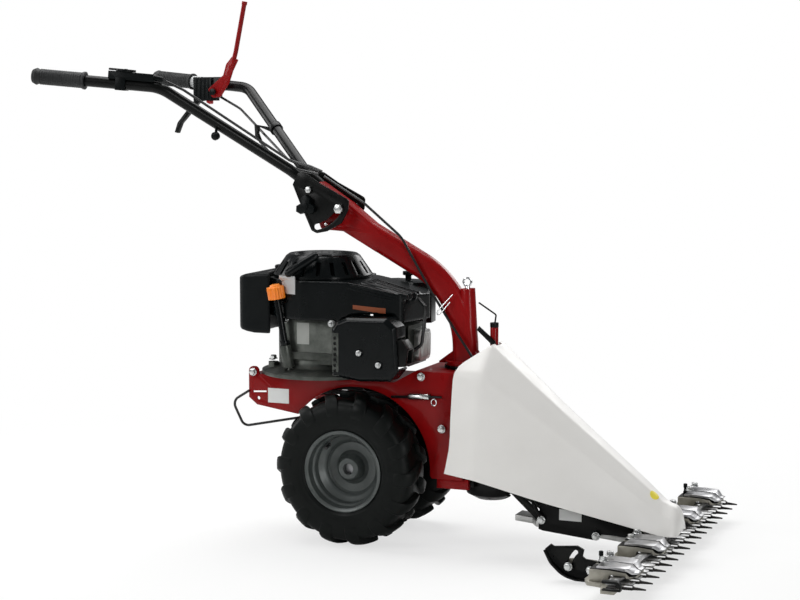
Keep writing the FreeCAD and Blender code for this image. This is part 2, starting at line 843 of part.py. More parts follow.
# Steering column: an oval tube that bends down, its head, its front lock tube and swivel plate
def column():
    axis = size("column_axis")
    wide = size("column_width") / 2
    deep = size("column_depth") / 2
    path = spine([(-62, 0, 709), (axis, 0, 552), (axis, 0, 402)], 207)
    start = Vector(-62, 0, 709)
    ahead = Vector(axis + 62, 0, 552 - 709).normalize()
    up = ahead.cross(Y_AXIS)
    signs = ((1, 1), (1, -1), (-1, -1), (-1, 1))
    corners = [start + up * (s * deep) + Y_AXIS * (t * wide) for s, t in signs]
    oval = Part.Wire([piece.toShape() for piece in rounded_path(corners, [14] * 4, True)])
    main = path.makePipe(Part.Face(oval))
    head_side = [
        (-114, 683, 8),
        (-60, 680),
        (20, 636),
        (26, 686),
        (-50, 744),
        (-122, 790, 8),
        (-150, 776, 12),
        (-142, 752),
    ]
    head = prism(head_side, "y", -wide, wide)
    front_tube = rod((238, 0, 440), (230.5, 0, 561), 16.5)
    front_tube = front_tube.cut(rod((232.6, 0, 520), (230.4, 0, 562), 6.2))
    skirt = prism([(axis - 24, 424), (axis - 58, 399), (axis - 58, 396), (axis + 40, 396), (axis + 27, 424)], "y", -12, 12)
    swivel = Part.makeCylinder(44, 8.6, Vector(axis, 0, 393.4))
    whole = joined(main, head, skirt, swivel)
    whole = whole.cut(rod((232.4, 0, 523), (229.9, 0, 570), 16.4))
    whole = joined(whole, front_tube)
    whole = whole.cut(rod((pivot[0], -30, pivot[1]), (pivot[0], 30, pivot[1]), size("pivot_radius") + size("fit")))
    whole = whole.cut(rod((clamp[0], -30, clamp[1]), (clamp[0], 30, clamp[1]), size("clamp_bolt") + size("fit")))
    whole = whole.cut(rod((-91, -30, 697), (-91, 30, 697), 3.1))
    return shape_part("column", whole)


def swivel_base():
    # toothed sector under the swivel plate, where the column is locked
    axis = size("column_axis")
    disc = Part.makeCylinder(46, 6.4, Vector(axis, 0, size("front_deck_height") + 0.4))
    for i in range(9):
        a = math.radians(180 + (i - 4) * 14)
        notch = block(-6, -3.5, 380, 6, 3.5, 400)
        notch.rotate(Vector(0, 0, 0), Z_AXIS, math.degrees(a))
        notch.translate(Vector(axis + 46 * math.cos(a), 46 * math.sin(a), 0))
        disc = disc.cut(notch)
    return shape_part("swivel_base", disc)


def lock_pin():
    pin = rod((231.6, 0, 536), (230, 0, 566), 5.6)
    eye = rod((229.6, -2, 575), (229.6, 2, 575), 11).cut(rod((229.6, -3, 575), (229.6, 3, 575), 7))
    return shape_part("lock_pin", joined(pin, eye))


column()
swivel_base()
lock_pin()

# Tilt bracket and handlebar
def tilt_bracket():
    corners = [
        (-171, 784, 4),
        (-155, 747),
        (-125, 682, 8),
        (-112, 676, 8),
        (-87, 681),
        (-52, 700, 10),
        (-36, 728),
        (-34, 752, 8),
        (-47, 759, 8),
        (-101, 786),
        (-136, 808, 6),
        (-158, 811, 6),
    ]
    gauge = size("plate_gauge")
    inner = size("plate_inner")
    plates = []
    for hand in (-1, 1):
        y = hand * (inner + gauge / 2)
        plate = prism(corners, "y", y - gauge / 2, y + gauge / 2)
        slot_edges = arc_slot(pivot, clamp_reach, size("clamp_bolt") + 0.6, clamp_angle - 49, clamp_angle + 1)
        lifted = []
        for edge in slot_edges:
            shape = edge.toShape()
            shape.rotate(Vector(0, 0, 0), X_AXIS, 90)
            lifted.append(shape)
        cutter = Part.Face(Part.Wire(Part.__sortEdges__(lifted)))
        cutter.translate(Vector(0, y + gauge, 0))
        plate = plate.cut(cutter.extrude(Vector(0, -2 * gauge, 0)))
        hole = rod((pivot[0], y - gauge, pivot[1]), (pivot[0], y + gauge, pivot[1]), size("pivot_radius") + size("fit"))
        plate = plate.cut(hole)
        plates.append(plate)
    return shape_part("tilt_bracket", Part.makeCompound(plates))


def handlebar(name, side):
    route = [
        (-690, side * 271, 1024.5),
        (-413, side * 212, 1000),
        (-176, side * 31, 810.7),
        (-98, side * 31, 750),
    ]
    bar = tube(route, 70, size("tube_radius"))
    end = Vector(*route[-1])
    back = (Vector(*route[-2]) - end).normalize()
    bar = bar.cut(rod(tuple(end), tuple(end + back * 30), size("tube_bore")))
    hole = rod((pivot[0], -60, pivot[1]), (pivot[0], 60, pivot[1]), size("pivot_radius") + 0.1)
    return shape_part(name, bar.cut(hole))


def tube_frame(side, along):
    # a place on the handlebar tube between grip and bend, and the tube's direction there
    start = Vector(-690, side * 271, 1024.5)
    end = Vector(-413, side * 212, 1000)
    ahead = (end - start).normalize()
    return start + ahead * along, ahead


def grips():
    pair = []
    inner = size("tube_radius") + 0.15
    r = size("grip_radius")
    for side in (-1, 1):
        inner_end, ahead = tube_frame(side, 113)
        outer_end, ahead = tube_frame(side, -9.3)
        ahead = outer_end - inner_end
        length = ahead.Length
        corners = [
            (inner, 0),
            (r + 3, 0),
            (r + 2.5, 5),
            (r, 8),
            (r - 0.5, length - 14),
            (r + 2, length - 9),
            (r - 2, length),
            (0, length),
            (0, length - 5),
            (inner, length - 5),
        ]
        grip = lathe(corners, 0, 0)
        grip.Placement = Placement(inner_end, Rotation(Z_AXIS, ahead))
        pair.append(grip)
    return shape_part("grips", Part.makeCompound(pair))


def hex_head(base, ahead, height, flats=None):
    flats = flats or size("nut_flats")
    head = prism(hexagon(0, 0, flats / math.sqrt(3)), "z", 0, height)
    head.Placement = Placement(base, Rotation(Z_AXIS, ahead))
    return head


tilt_bracket()
handlebar("handlebar_right", -1)
handlebar("handlebar_left", 1)
grips()


def tilt_knob():
    # a three-lobed hand knob
    points = []
    for i in range(12):
        a = math.radians(90 + i * 30)
        r = (25, 21, 12, 21)[i % 4]
        points.append((r * math.cos(a), r * math.sin(a)))
    knob = joined(prism(points, "z", 0.4, 15), Part.makeCylinder(8, 18))
    knob.Placement = Placement(Vector(-134, -47.9, 737), Rotation(Z_AXIS, Vector(0, -1, 0)))
    return shape_part("tilt_knob", knob)


tilt_knob()


# Controls on the near tube: throttle
def throttle():
    base, ahead = tube_frame(-1, 168)
    box = block(0, -13, 10, 104, 13, 27)
    saddle = block(18, -15, -14, 40, 15, 14)
    nose = rod((100, 0, 20), (122, 0, 17), 6)
    body = joined(box, saddle, nose)
    body = body.cut(rod((-5, 0, 0), (130, 0, 0), 12.8))
    body = body.cut(rod((36, 0, 25), (36, 0, 30), 4.2))
    turn = Placement(base, Rotation(Vector(0, 0, 1), math.degrees(math.atan2(ahead.y, ahead.x))))
    tilt = Placement(Vector(0, 0, 0), Rotation(Y_AXIS, math.degrees(-math.asin(ahead.z))))
    body.Placement = turn.multiply(tilt)
    shape_part("throttle_box", body)
    disc = Part.makeCylinder(22, 5, Vector(36, 0, 27.5))
    tongue = block(-2, -5, 28.5, 30, 5, 33)
    pin = Part.makeCylinder(4, 8, Vector(36, 0, 25.6))
    lever = joined(disc, tongue, pin)
    lever.Placement = turn.multiply(tilt)
    return shape_part("throttle_lever", lever)


throttle()


# Controls on the far tube: clutch lever with its trigger, and the mowing lever
def far_controls():
    base, ahead = tube_frame(1, 160)
    place = Placement(base, Rotation(Vector(0, 0, 1), math.degrees(math.atan2(ahead.y, ahead.x))))
    housing = block(-34, -16, -42, 22, 16, 15)
    ribs = [block(-30 + i * 13, -17.5, -38, -24 + i * 13, 17.5, 10) for i in range(4)]
    housing = joined(housing, *ribs)
    housing = housing.cut(rod((-60, 0, 5.2), (60, 0, -5.2), 12.9))
    housing = housing.cut(block(-40, -6, -60, -6, 6, -20))
    housing = housing.cut(block(-3, -7, -60, 12, 7, -19))
    housing = housing.cut(rod((-18, -20, -36), (-18, 20, -36), 3 + size("fit")))
    outlet = rod((20, 0, -27), (34, 0, -31), 5)
    housing = joined(housing, outlet)
    housing.Placement = place
    shape_part("lever_housing", housing)
    lever_outline = [(-10, -32), (-30, -30), (-96, -96, 12), (-106, -120), (-96, -122), (-84, -98, 12), (-24, -44), (-10, -42)]
    lever = joined(prism(lever_outline, "y", -5, 5), rod((-18, -18.5, -36), (-18, 18.5, -36), 3))
    lever.Placement = place
    shape_part("hand_lever", lever)
    trigger = prism([(-2, -46, 3), (-2, -30), (11, -30), (11, -52, 3)], "y", -6.2, 6.2)
    trigger.Placement = place
    shape_part("safety_trigger", trigger)


def mowing_lever():
    # the long red lever turns on a pin across the left tube
    y = 214
    body_outline = [
        (-512, 996, 6),
        (-500, 976, 6),
        (-478, 978, 6),
        (-455, 1010),
        (-444, 1040),
        (-430, 1066),
        (-446, 1074),
        (-462, 1056, 8),
        (-470, 1030),
    ]
    plate = prism(body_outline, "y", y - 20, y - 16)
    arm = tube([(-446, y - 18, 1052), (-436, y - 18, 1086), (-412, y - 18, 1200)], 30, 5.5)
    tip = rod((-412.6, y - 18, 1196), (-411, y - 18, 1204), 6.5)
    whole = joined(plate, arm, tip)
    whole = whole.cut(rod((-496, y - 40, 990), (-496, y, 990), 5.1))
    return shape_part("mowing_lever", whole)


def lever_mount():
    y = 214
    clip = block(-507.6, y + 2, 993, -484, y + 34, 1026)
    cheek = prism([(-506, 978), (-486, 978), (-486, 1002), (-506, 1002)], "y", y - 15, y + 6)
    pin = rod((-496, y - 28, 990), (-496, y - 12, 990), 5)
    cap = rod((-496, y - 28, 990), (-496, y - 23, 990), 8)
    bar_start, ahead = tube_frame(1, 0)
    end = bar_start + ahead * 300
    bore = rod(tuple(bar_start), tuple(end), 12.7)
    return joined(clip, cheek, pin, cap).cut(bore)


far_controls()
mowing_lever()


def cable_bracket():
    # bent sheet clamped on the left tube, with a fork that holds the cable's adjuster
    bend = Vector(-413, 212, 1000)
    ahead = Vector(237, -181, -189.3).normalize()
    centre = bend + ahead * 168
    band = Part.makeCylinder(15.5, 16, centre, ahead).cut(Part.makeCylinder(12.6, 20, centre - ahead * 2, ahead))
    plate = prism([(-352, 914), (-350, 880), (-342, 884), (-338, 908), (-302, 894), (-300, 906)], "y", 124, 128)
    adjuster = rod((-346, 126, 896), (-334, 123, 872), 4.5)
    bore = Part.makeCylinder(12.7, 300, bend + ahead * 20, ahead)
    return joined(band, plate, adjuster).cut(bore)


shape_part("tube_clamps", Part.makeCompound([lever_mount(), cable_bracket()]))


# Control cables, sheathed, held by the tubes and the column all the way
def cables():
    r = 2.9
    throttle_run = tube([(-401.2, -208, 1013.2), (-366, -190, 994), (-176, -52, 838), (-124, -11, 812)], 30, r)
    clutch_run = tube([(-496.8, 230.5, 977.9), (-440, 224, 950), (-225, 42, 836), (-150, 8, 822), (-122, 3, 812)], 40, r)
    mowing_run = tube([(-333, 122.6, 870), (-236, 30, 822), (-160, -2, 812), (-128, -4, 806)], 40, r)
    shape_part("handlebar_cables", Part.makeCompound([throttle_run, clutch_run, mowing_run]))
    main = tube(
        [
            (-113, -4, 801),
            (-8, -20, 744),
            (84, -27, 672),
            (156, -27, 552),
            (204, -28, 482),
            (268, -38, 397),
        ],
        70,
        r,
    )
    shape_part("mowing_cable", main)
    rear = tube([(-262, -92, 318), (-304, -92, 292), (-276, -91, 236), (-130, -50, 262)], 18, r)
    fitting = joined(
        rod((88, -94.6, 326), (132, -94.6, 328.6), r),
        rod((130, -94.6, 328.5), (180, -94.6, 331), 6),
        rod((178, -94.6, 331), (206, -94.6, 332), 2.6),
    )
    shape_part("tension_cable", Part.makeCompound([rear, fitting]))


cables()


# Post, rod and stay between the column and the hood
def front_details():
    post = Part.makeCylinder(9, 94, Vector(293, 0, 384.3)).cut(Part.makeCylinder(7, 40, Vector(293, 0, 440)))
    shape_part("cable_post", post)
    wire = tube([(256.5, 0, 531), (297, 0, 506), (294, 0, 486)], 5, 1.8)
    knob = Part.makeCylinder(9.5, 10, Vector(293, 0, 478.5))
    plug = block(288.5, -4.5, 450, 297.5, 4.5, 480)
    stay = prism([(257, 472), (262, 481), (300, 449), (300, 443.5), (290, 442.8)], "y", -14, -10)
    foot = block(288, -14, 442, 300, -9.2, 447)
    shape_part("front_rods", Part.makeCompound([joined(wire, knob, plug), joined(stay, foot)]))


front_details()


# Hood: one moulded shell, a wedge that opens at the bottom and at the rear
def hood():
    # x, ridge height, half flat on top, shoulder (half width, height), foot (half width, height)
    stations = [
        (226, 445, 40, 101, 388, 152, 178),
        (300, 445, 40, 101, 388, 150, 166),
        (440, 323, 28, 72, 284, 122, 126),
        (640, 163, 20, 44, 134, 74, 74),
        (690, 128, 17, 34, 104, 50, 57),
    ]

    def loft(inset, drop):
        wires = []
        for x, top, flat, shoulder, mid, foot, low in stations:
            shift = -1 if inset and x == 226 else 0
            right = [(foot - inset, low - drop), (shoulder - inset, mid, 30), (flat - inset * 0.5, top - inset, 18)]
            corners = [(-c[0],) + tuple(c[1:]) for c in right] + list(reversed(right))
            points = [Vector(x + shift, c[0], c[1]) for c in corners]
            radii = [c[2] * flat / 40 if len(c) > 2 else 0 for c in corners]
            edges = [piece.toShape() for piece in rounded_path(points, radii, True)]
            wires.append(Part.Wire(edges))
        return Part.makeLoft(wires, True, True)

    outer = loft(0, 0)
    nose_side = prism([(686, 60), (688, 128), (706, 127), (723, 106), (723, 72), (712, 52), (697, 54)], "y", -44, 44)
    nose_plan = prism([(684, -42), (712, -33), (724, -13), (724, 13), (712, 33), (684, 42)], "z", 30, 140)
    hollow_side = prism([(680, 40), (680, 97), (690, 100), (690, 121), (704, 121), (719, 104), (719, 74), (712, 60), (706, 40)], "y", -44, 44)
    hollow_plan = prism([(670, -34), (710, -29), (720, -11), (720, 11), (710, 29), (670, 34)], "z", 30, 140)
    nose = nose_side.common(nose_plan)
    hollow = joined(hollow_side.common(hollow_plan), block(660, -40, 40, 694, 40, 64))
    rear_cut = prism(
        [(200, 160), (234, 178), (241, 240, 60), (237, 330, 80), (236, 392), (262, 416), (300, 444.6), (300, 470), (200, 470)],
        "y",
        -200,
        200,
    )
    shell = joined(outer.cut(loft(3.5, 40)), nose).cut(hollow)
    post_notch = block(255, -17, 400, 305, 17, 470)
    return shape_part("hood", shell.cut(rear_cut).cut(post_notch))


hood()


# Carrier between the crank housing and the cutter bar
def carrier():
    body = new_body("carrier")
    half = size("carrier_half")
    side = sketch_on(body, "carrier_side", "XZ_Plane")
    draw(side, outline([(414, 50), (424, 47), (538, 36.5), (556, 50), (632, 51.3), (648, 54), (648, 68), (632, 92.8), (417, 111)]))
    pad(body, "carrier_block", side, 2 * half, symmetric=True)
    hollow = sketch_on(body, "carrier_hollow", "XZ_Plane")
    draw(hollow, outline([(400, 20), (710, 20), (710, 82), (400, 107)]))
    pocket(body, "carrier_inside", hollow, 2 * (half - 5), symmetric=True)
    for hand in (-1, 1):
        start = half if hand < 0 else -half - 5
        strut = sketch_on(body, "strut_%s" % ("right" if hand < 0 else "left"), "XZ_Plane", start)
        draw(strut, outline([(432, 66), (432, 80), (424, 84), (340, 152), (328, 146), (414, 68)]))
        pad(body, strut.Name + "_bar", strut, 5)
    body.Placement = at()
    return keep("carrier", body)


def carrier_bar():
    profile = [(352, 58), (598, 36.4), (645, 36.4), (645, 47), (600, 47.4), (352, 71)]
    bar = prism(profile, "y", -44.6, 44.6)
    for hand in (-1, 1):
        bar = bar.cut(prism([(340, hand * 24), (392, hand * 24), (408, hand * 46), (340, hand * 46)], "z", 20, 90))
    stud = Part.makeCylinder(8, 30, Vector(500, 0, 52))
    return shape_part("carrier_bar", joined(bar, stud))


def rocker_lever():
    gauge = size("lever_gauge")
    low, high = 64, 112
    pin = 500 + size("rocker_reach")
    profile = [(344, high), (362, high), (440, low), (pin + 8, low)]
    profile += [(pin + 8, low + gauge), (443, low + gauge), (366, high + gauge), (344, high + gauge)]
    arm = prism(profile, "y", -30, 30)
    plan = prism([(340, -11), (480, -18), (520, -18), (700, -9), (700, 9), (520, 18), (480, 18), (340, 11)], "z", 50, 140)
    arm = arm.common(plan)
    hub = Part.makeCylinder(20, 16, Vector(500, 0, 60))
    tip = Part.makeCylinder(6, low - 52, Vector(pin, 0, 53))
    lever = joined(arm, hub, tip)
    return shape_part("rocker_lever", lever.cut(Part.makeCylinder(8 + size("fit"), 40, Vector(500, 0, 50))))


carrier()
carrier_bar()
rocker_lever()

# Cutter bar: base bar, slotted fingers, knife, hold-down clamps and end guide
pitch = size("finger_pitch")
fingers_half = (size("finger_count") - 1) / 2
clamp_places = [pitch * step for step in (-6.5, -2.5, 3.5, 7.5)]


def cutter_bar():
    body = new_body("cutter_bar")
    half = size("bar_half")
    plan = sketch_on(body, "bar_plan", "XY_Plane", 28)
    right_end = [(612, 70 - half), (622, 50 - half), (654, 42 - half), (664, -half)]
    draw(plan, outline([(691.6, -half), (691.6, half), (622, half), (612, half - 22)] + right_end))
    pad(body, "bar_flat", plan, "sizes.bar_gauge")
    for hand in (-1, 1):
        inner = size("skid_place") - size("skid_gauge") / 2 - 0.5
        start = inner - 6 if hand < 0 else -inner
        lug = sketch_on(body, "skid_lug_%s" % ("right" if hand < 0 else "left"), "XZ_Plane", start)
        draw(lug, outline([(536, 18), (590, 15.6), (618, 27.9), (618, 36), (600, 42), (560, 44), (536, 40)]))
        for x, z in ((592, 24), (545, 28)):
            draw_circle(lug, x, z, "bolt_radius")
        pad(body, lug.Name + "_plate", lug, 6)
    body.Placement = at()
    return keep("cutter_bar", body)


def end_guide():
    side = [(668, 36.2), (706, 36.2), (706, 50), (700, 56), (668, 56)]
    guide = prism(side, "y", -437, -424)
    guide = guide.cut(block(660, -440, 39.2, 696, -420, 50.4))
    return guide.cut(block(690, -440, 39.2, 703.4, -420, 43.4))


def fingers():
    # side view: foot on the bar, lower body, and a lip over the knife that joins it at the point
    side = [
        (672, 36.1),
        (691.8, 36.1),
        (694, 31),
        (708, 30.5),
        (749, 35.6),
        (749, 39.4),
        (731, 45.4),
        (693.5, 45.4),
        (693.5, 43.4),
        (722, 43.4),
        (722, 39.2),
        (672, 39.2),
    ]
    blank = prism(side, "y", -20, 20)
    width = size("finger_width")
    plan = [
        (671, -13),
        (690, -13),
        (696, -width / 2),
        (728, -width / 2 + 0.8),
        (750, -1.7),
        (750, 1.7),
        (728, width / 2 - 0.8),
        (696, width / 2),
        (690, 13),
        (671, 13),
    ]
    finger = blank.common(prism(plan, "z", 20, 60))
    row = []
    for i in range(int(size("finger_count"))):
        one = finger.copy()
        one.translate(Vector(0, (i - fingers_half) * pitch, 0))
        row.append(one)
    return shape_part("fingers", Part.makeCompound(row + [end_guide()]))


def knife():
    body = new_body("knife")
    gauge = size("section_gauge")
    first = -(fingers_half - 0.5) * pitch
    blade = sketch_on(body, "section_plan", "XY_Plane", 39.6)
    half = pitch / 2 - 0.1
    draw(blade, outline([(668, first - half), (690, first - half), (719, first - 6), (719, first + 6), (690, first + half), (668, first + half)]))
    tooth = pad(body, "section", blade, "sizes.section_gauge")
    run = 2 * (fingers_half - 0.5) * pitch
    linear(body, "section_row", tooth, "Y_Axis", run, int(size("finger_count")) - 1)
    back = sketch_on(body, "back_side", "XZ_Plane")
    draw(back, outline([(671.8, 39.6 + gauge), (691.8, 39.6 + gauge), (691.8, 49.4), (671.8, 49.4)]))
    pad(body, "back_bar", back, 2 * 406, symmetric=True)
    head = sketch_on(body, "head_side", "XZ_Plane")
    draw(head, outline([(668, 49.3), (690, 49.3), (690, 61), (668, 61)]))
    pad(body, "head_block", head, 20, symmetric=True)
    slot = sketch_on(body, "head_slot", "XY_Plane", 90)
    draw(slot, outline([(660, -6.3), (700, -6.3), (700, 6.3), (660, 6.3)]))
    pocket(body, "head_slot_cut", slot, 39)
    body.Placement = at()
    return keep("knife", body)


def clamp_bases():
    side = [
        (625, 36.2),
        (664, 36.2),
        (665, 51),
        (697, 51),
        (701, 46.4),
        (717, 46.4),
        (717, 50.4),
        (706, 51.4),
        (699, 58),
        (664, 61),
        (625, 60),
    ]
    half = size("clamp_width") / 2
    blank = prism(side, "y", -half, half)
    plan = prism([(620, -half), (700, -half), (717, -25), (717, 25), (700, half), (620, half)], "z", 20, 90)
    base = blank.common(plan)
    return shape_part("clamp_bases", Part.makeCompound([moved(base, y) for y in clamp_places]))


def moved(shape, y):
    other = shape.copy()
    other.translate(Vector(0, y, 0))
    return other


def clamp_straps():
    side = [
        (640, 63.2),
        (668, 64),
        (700, 61),
        (709, 53.4),
        (718.5, 52.8),
        (718.5, 56),
        (712, 57),
        (702, 66.5),
        (668, 68),
        (640, 67.2),
    ]
    gap = size("clamp_width") / 2 - size("strap_width")
    straps = []
    for y in clamp_places:
        for hand in (-1, 1):
            inner = hand * gap
            outer = hand * (gap + size("strap_width"))
            strap = prism(side, "y", min(inner, outer), max(inner, outer))
            strap = strap.common(prism([(630, outer), (698, outer), (719, hand * 24), (719, inner), (630, inner)], "z", 40, 90))
            straps.append(moved(strap, y))
    return shape_part("clamp_straps", Part.makeCompound(straps))


cutter_bar()
fingers()
knife()
clamp_bases()
clamp_straps()


# Skid shoes behind the bar: a side plate with a curved sole, slotted round its front bolt
def skid(name, hand):
    plate_outline = [
        (588, 1),
        (606, 14),
        (602, 42),
        (580, 45),
        (573, 50),
        (576, 64),
        (562, 71),
        (512, 66),
        (505, 70),
        (493, 59),
        (507, 33, 40),
        (534, 8, 60),
        (562, 1),
    ]
    body = new_body(name)
    gauge = size("skid_gauge")
    place = size("skid_place")
    start = place - gauge / 2 if hand < 0 else -place - gauge / 2
    side = sketch_on(body, name + "_side", "XZ_Plane", start)
    draw(side, outline(plate_outline))
    draw(side, [Part.Circle(Vector(592, 24, 0), Z_AXIS, size("bolt_radius") + size("fit"))])
    reach = math.hypot(592 - 545, 28 - 24)
    draw(side, arc_slot((592, 24), reach, size("bolt_radius") + 0.5, 134, 176))
    pad(body, name + "_plate", side, "sizes.skid_gauge")
    sole = sketch_on(body, name + "_sole", "XZ_Plane", start - 12 if hand < 0 else start - 12)
    under = [(588, 0.5), (604, 12), (601, 14), (587, 4.5), (563, 4.8), (537, 11, 55)]
    under += [(510, 35, 38), (497, 59), (493, 58), (506, 32.5, 40), (533, 7.5, 60), (561, 0.8)]
    draw(sole, outline(under))
    pad(body, name + "_sole_strip", sole, 30)
    body.Placement = at()
    return keep(name, body)


skid("skid_right", -1)
skid("skid_left", 1)


# Hexagon bolts with washers, all of one size: chassis, engine, carrier, clamps, skids
def hex_bolts():
    bolts = []

    def bolt(x, y, z, ahead, shank=0.0):
        way = Vector(*ahead)
        base = Vector(x, y, z)
        head = hex_head(base, way, 7)
        if shank:
            head = head.fuse(Part.makeCylinder(size("bolt_radius") - 0.1, shank, base - way * shank, way))
        bolts.append(head)

    half = size("chassis_half")
    for side in (-1, 1):
        out = (0, side, 0)
        bolt(-250, side * (half + 0.2), 362, out, 9)
        bolt(158, side * (half + 0.2), 374, out)
        bolt(206, side * (half + 0.2), 262, out)
        edge = size("carrier_half") + 0.2
        bolt(424, side * (edge + 5), 73, out)
        bolt(545, side * edge, 47, out)
        skid_face = size("skid_place") + size("skid_gauge") / 2 + 0.2
        bolt(592, side * skid_face, 24, out, 13)
        bolt(545, side * skid_face, 28, out, 13)
    deck = size("deck_height") + 26.6
    for degrees in (30, 149, 211, 330):
        a = math.radians(degrees)
        bolt(crank + 114 * math.cos(a), 114 * math.sin(a), deck, (0, 0, 1))
    for y in clamp_places:
        for side in (-1, 1):
            bolt(648, y + side * 24, 67.9, (0, 0, 1))
    return shape_part("hex_bolts", Part.makeCompound(bolts))


def tilt_bolts():
    # the pivot bolt, the big clamp bolt and the slot's stop screw, all fixed in the column's head
    face = size("plate_inner") + size("plate_gauge") + 0.4
    x, z = clamp
    shank = rod((x, -face, z), (x, face, z), size("clamp_bolt"))
    ends = [hex_head(Vector(x, side * face, z), Vector(0, side, 0), 9, flats=19) for side in (-1, 1)]
    x, z = pivot
    pin = rod((x, -face, z), (x, face, z), size("pivot_radius"))
    heads = [hex_head(Vector(x, side * face, z), Vector(0, side, 0), 7) for side in (-1, 1)]
    stop = rod((-91, -face + 1, 697), (-91, face - 1, 697), 3)
    return shape_part("tilt_bolts", Part.makeCompound([joined(shank, *ends), joined(pin, *heads), stop]))


hex_bolts()
tilt_bolts()


# Checks, then one file for each node
doc.recompute()
failed = []
for item in doc.Objects:
    states = list(item.State)
    if "Invalid" in states or "Error" in states:
        failed.append(item.Name)
for name, item in nodes.items():
    shape = item.Shape
    if shape.isNull() or not shape.isValid() or not shape.Solids:
        failed.append(name)
if failed:
    raise RuntimeError("these objects failed: " + ", ".join(sorted(set(failed))))
whole_box = FreeCAD.BoundBox()
for name, item in nodes.items():
    item.Shape.exportStep(os.path.join("parts", name + ".step"))
    whole_box.add(item.Shape.BoundBox)
print("nodes", len(nodes))
print("box", [round(v, 1) for v in (whole_box.XMin, whole_box.XMax, whole_box.YMin, whole_box.YMax, whole_box.ZMin, whole_box.ZMax)])
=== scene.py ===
import json
import math

import bmesh
import bpy
from mathutils import Matrix, Vector
from mathutils.bvhtree import BVHTree


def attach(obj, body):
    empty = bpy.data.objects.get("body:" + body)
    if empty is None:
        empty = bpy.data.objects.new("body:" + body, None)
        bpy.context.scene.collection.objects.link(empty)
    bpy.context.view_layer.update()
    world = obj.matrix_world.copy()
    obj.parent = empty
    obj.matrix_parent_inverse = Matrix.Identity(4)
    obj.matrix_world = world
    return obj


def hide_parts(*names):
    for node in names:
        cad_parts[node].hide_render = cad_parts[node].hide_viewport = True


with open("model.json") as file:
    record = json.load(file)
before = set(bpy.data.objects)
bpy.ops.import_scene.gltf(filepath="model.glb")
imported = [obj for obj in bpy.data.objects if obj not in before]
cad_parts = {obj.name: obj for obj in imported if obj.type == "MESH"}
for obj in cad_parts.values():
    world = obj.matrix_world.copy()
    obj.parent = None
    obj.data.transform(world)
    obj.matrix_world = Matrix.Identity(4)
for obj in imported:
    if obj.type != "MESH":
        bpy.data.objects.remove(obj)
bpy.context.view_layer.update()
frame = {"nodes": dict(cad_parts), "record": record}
scene = bpy.context.scene
scene.view_settings.view_transform = "Standard"
print("frame loaded")

# places below are in millimetres: x from the wheel's middle, which stands behind the middle of the machine,
# and z from a level a little over the floor
wheelMiddle = 25
floorLift = 6
bodyOf = {node: body for body, nodes in frame["record"]["behaviour"]["bodies"].items() for node in nodes}
slotOf = {part["node"]: part["material_slot"] for part in frame["record"]["subparts"]}


def spot(x, y, z):
    return Vector(((x - wheelMiddle) / 1000, y / 1000, (z + floorLift) / 1000))


def link(item):
    scene.collection.objects.link(item)
    return item


# viewpoint, lamps and floor
view = {"place": (1.628, -3.849, 0.998), "turn": 22.36, "dip": 6.35, "lens": 84.5}


def makeCamera():
    lens = bpy.data.cameras.new("viewCamera")
    lens.lens = view["lens"]
    lens.sensor_width = 36
    lens.clip_end = 60
    camera = link(bpy.data.objects.new("viewCamera", lens))
    camera.location = view["place"]
    camera.rotation_euler = (math.radians(90 - view["dip"]), 0, math.radians(view["turn"]))
    scene.camera = camera


studio = {
    "lamps": {
        # name: (place, aims at, width, height, strength)
        "overhead": ((-0.5, 0.5, 2.7), (0.05, 0.0, 0.4), 2.6, 1.5, 66),
        "frontSoft": ((-2.3, -3.2, 2.3), (0.0, 0.0, 0.45), 1.5, 2.0, 58),
        "rightStrip": ((3.1, -2.6, 1.3), (0.2, 0.0, 0.35), 0.7, 1.9, 40),
        "backSoft": ((0.9, 3.4, 1.9), (0.0, 0.0, 0.5), 2.2, 1.2, 36),
        "leftStrip": ((-3.4, 0.2, 1.6), (0.0, 0.0, 0.4), 0.8, 1.8, 26),
    },
    "sky": 0.17,
    "floor": (0.92, 0.925, 0.915),
    "floorGlow": 0.66,
}


def makeStudio():
    for name, (place, target, width, height, strength) in studio["lamps"].items():
        lamp = bpy.data.lights.new(name, "AREA")
        lamp.shape = "RECTANGLE"
        lamp.size = width
        lamp.size_y = height
        lamp.energy = strength
        holder = link(bpy.data.objects.new(name, lamp))
        holder.location = place
        aim = Vector(target) - Vector(place)
        holder.rotation_euler = aim.to_track_quat("-Z", "Y").to_euler()
    world = bpy.data.worlds.new("studioSky")
    scene.world = world
    world.use_nodes = True
    nodes, links = world.node_tree.nodes, world.node_tree.links
    nodes.clear()
    output = nodes.new("ShaderNodeOutputWorld")
    seen = nodes.new("ShaderNodeBackground")
    seen.inputs["Color"].default_value = (1, 1, 1, 1)
    seen.inputs["Strength"].default_value = 1.0
    lighting = nodes.new("ShaderNodeBackground")
    lighting.inputs["Color"].default_value = (0.97, 0.98, 1, 1)
    lighting.inputs["Strength"].default_value = studio["sky"]
    path = nodes.new("ShaderNodeLightPath")
    mix = nodes.new("ShaderNodeMixShader")
    links.new(path.outputs["Is Camera Ray"], mix.inputs["Fac"])
    links.new(lighting.outputs["Background"], mix.inputs[1])
    links.new(seen.outputs["Background"], mix.inputs[2])
    links.new(mix.outputs["Shader"], output.inputs["Surface"])


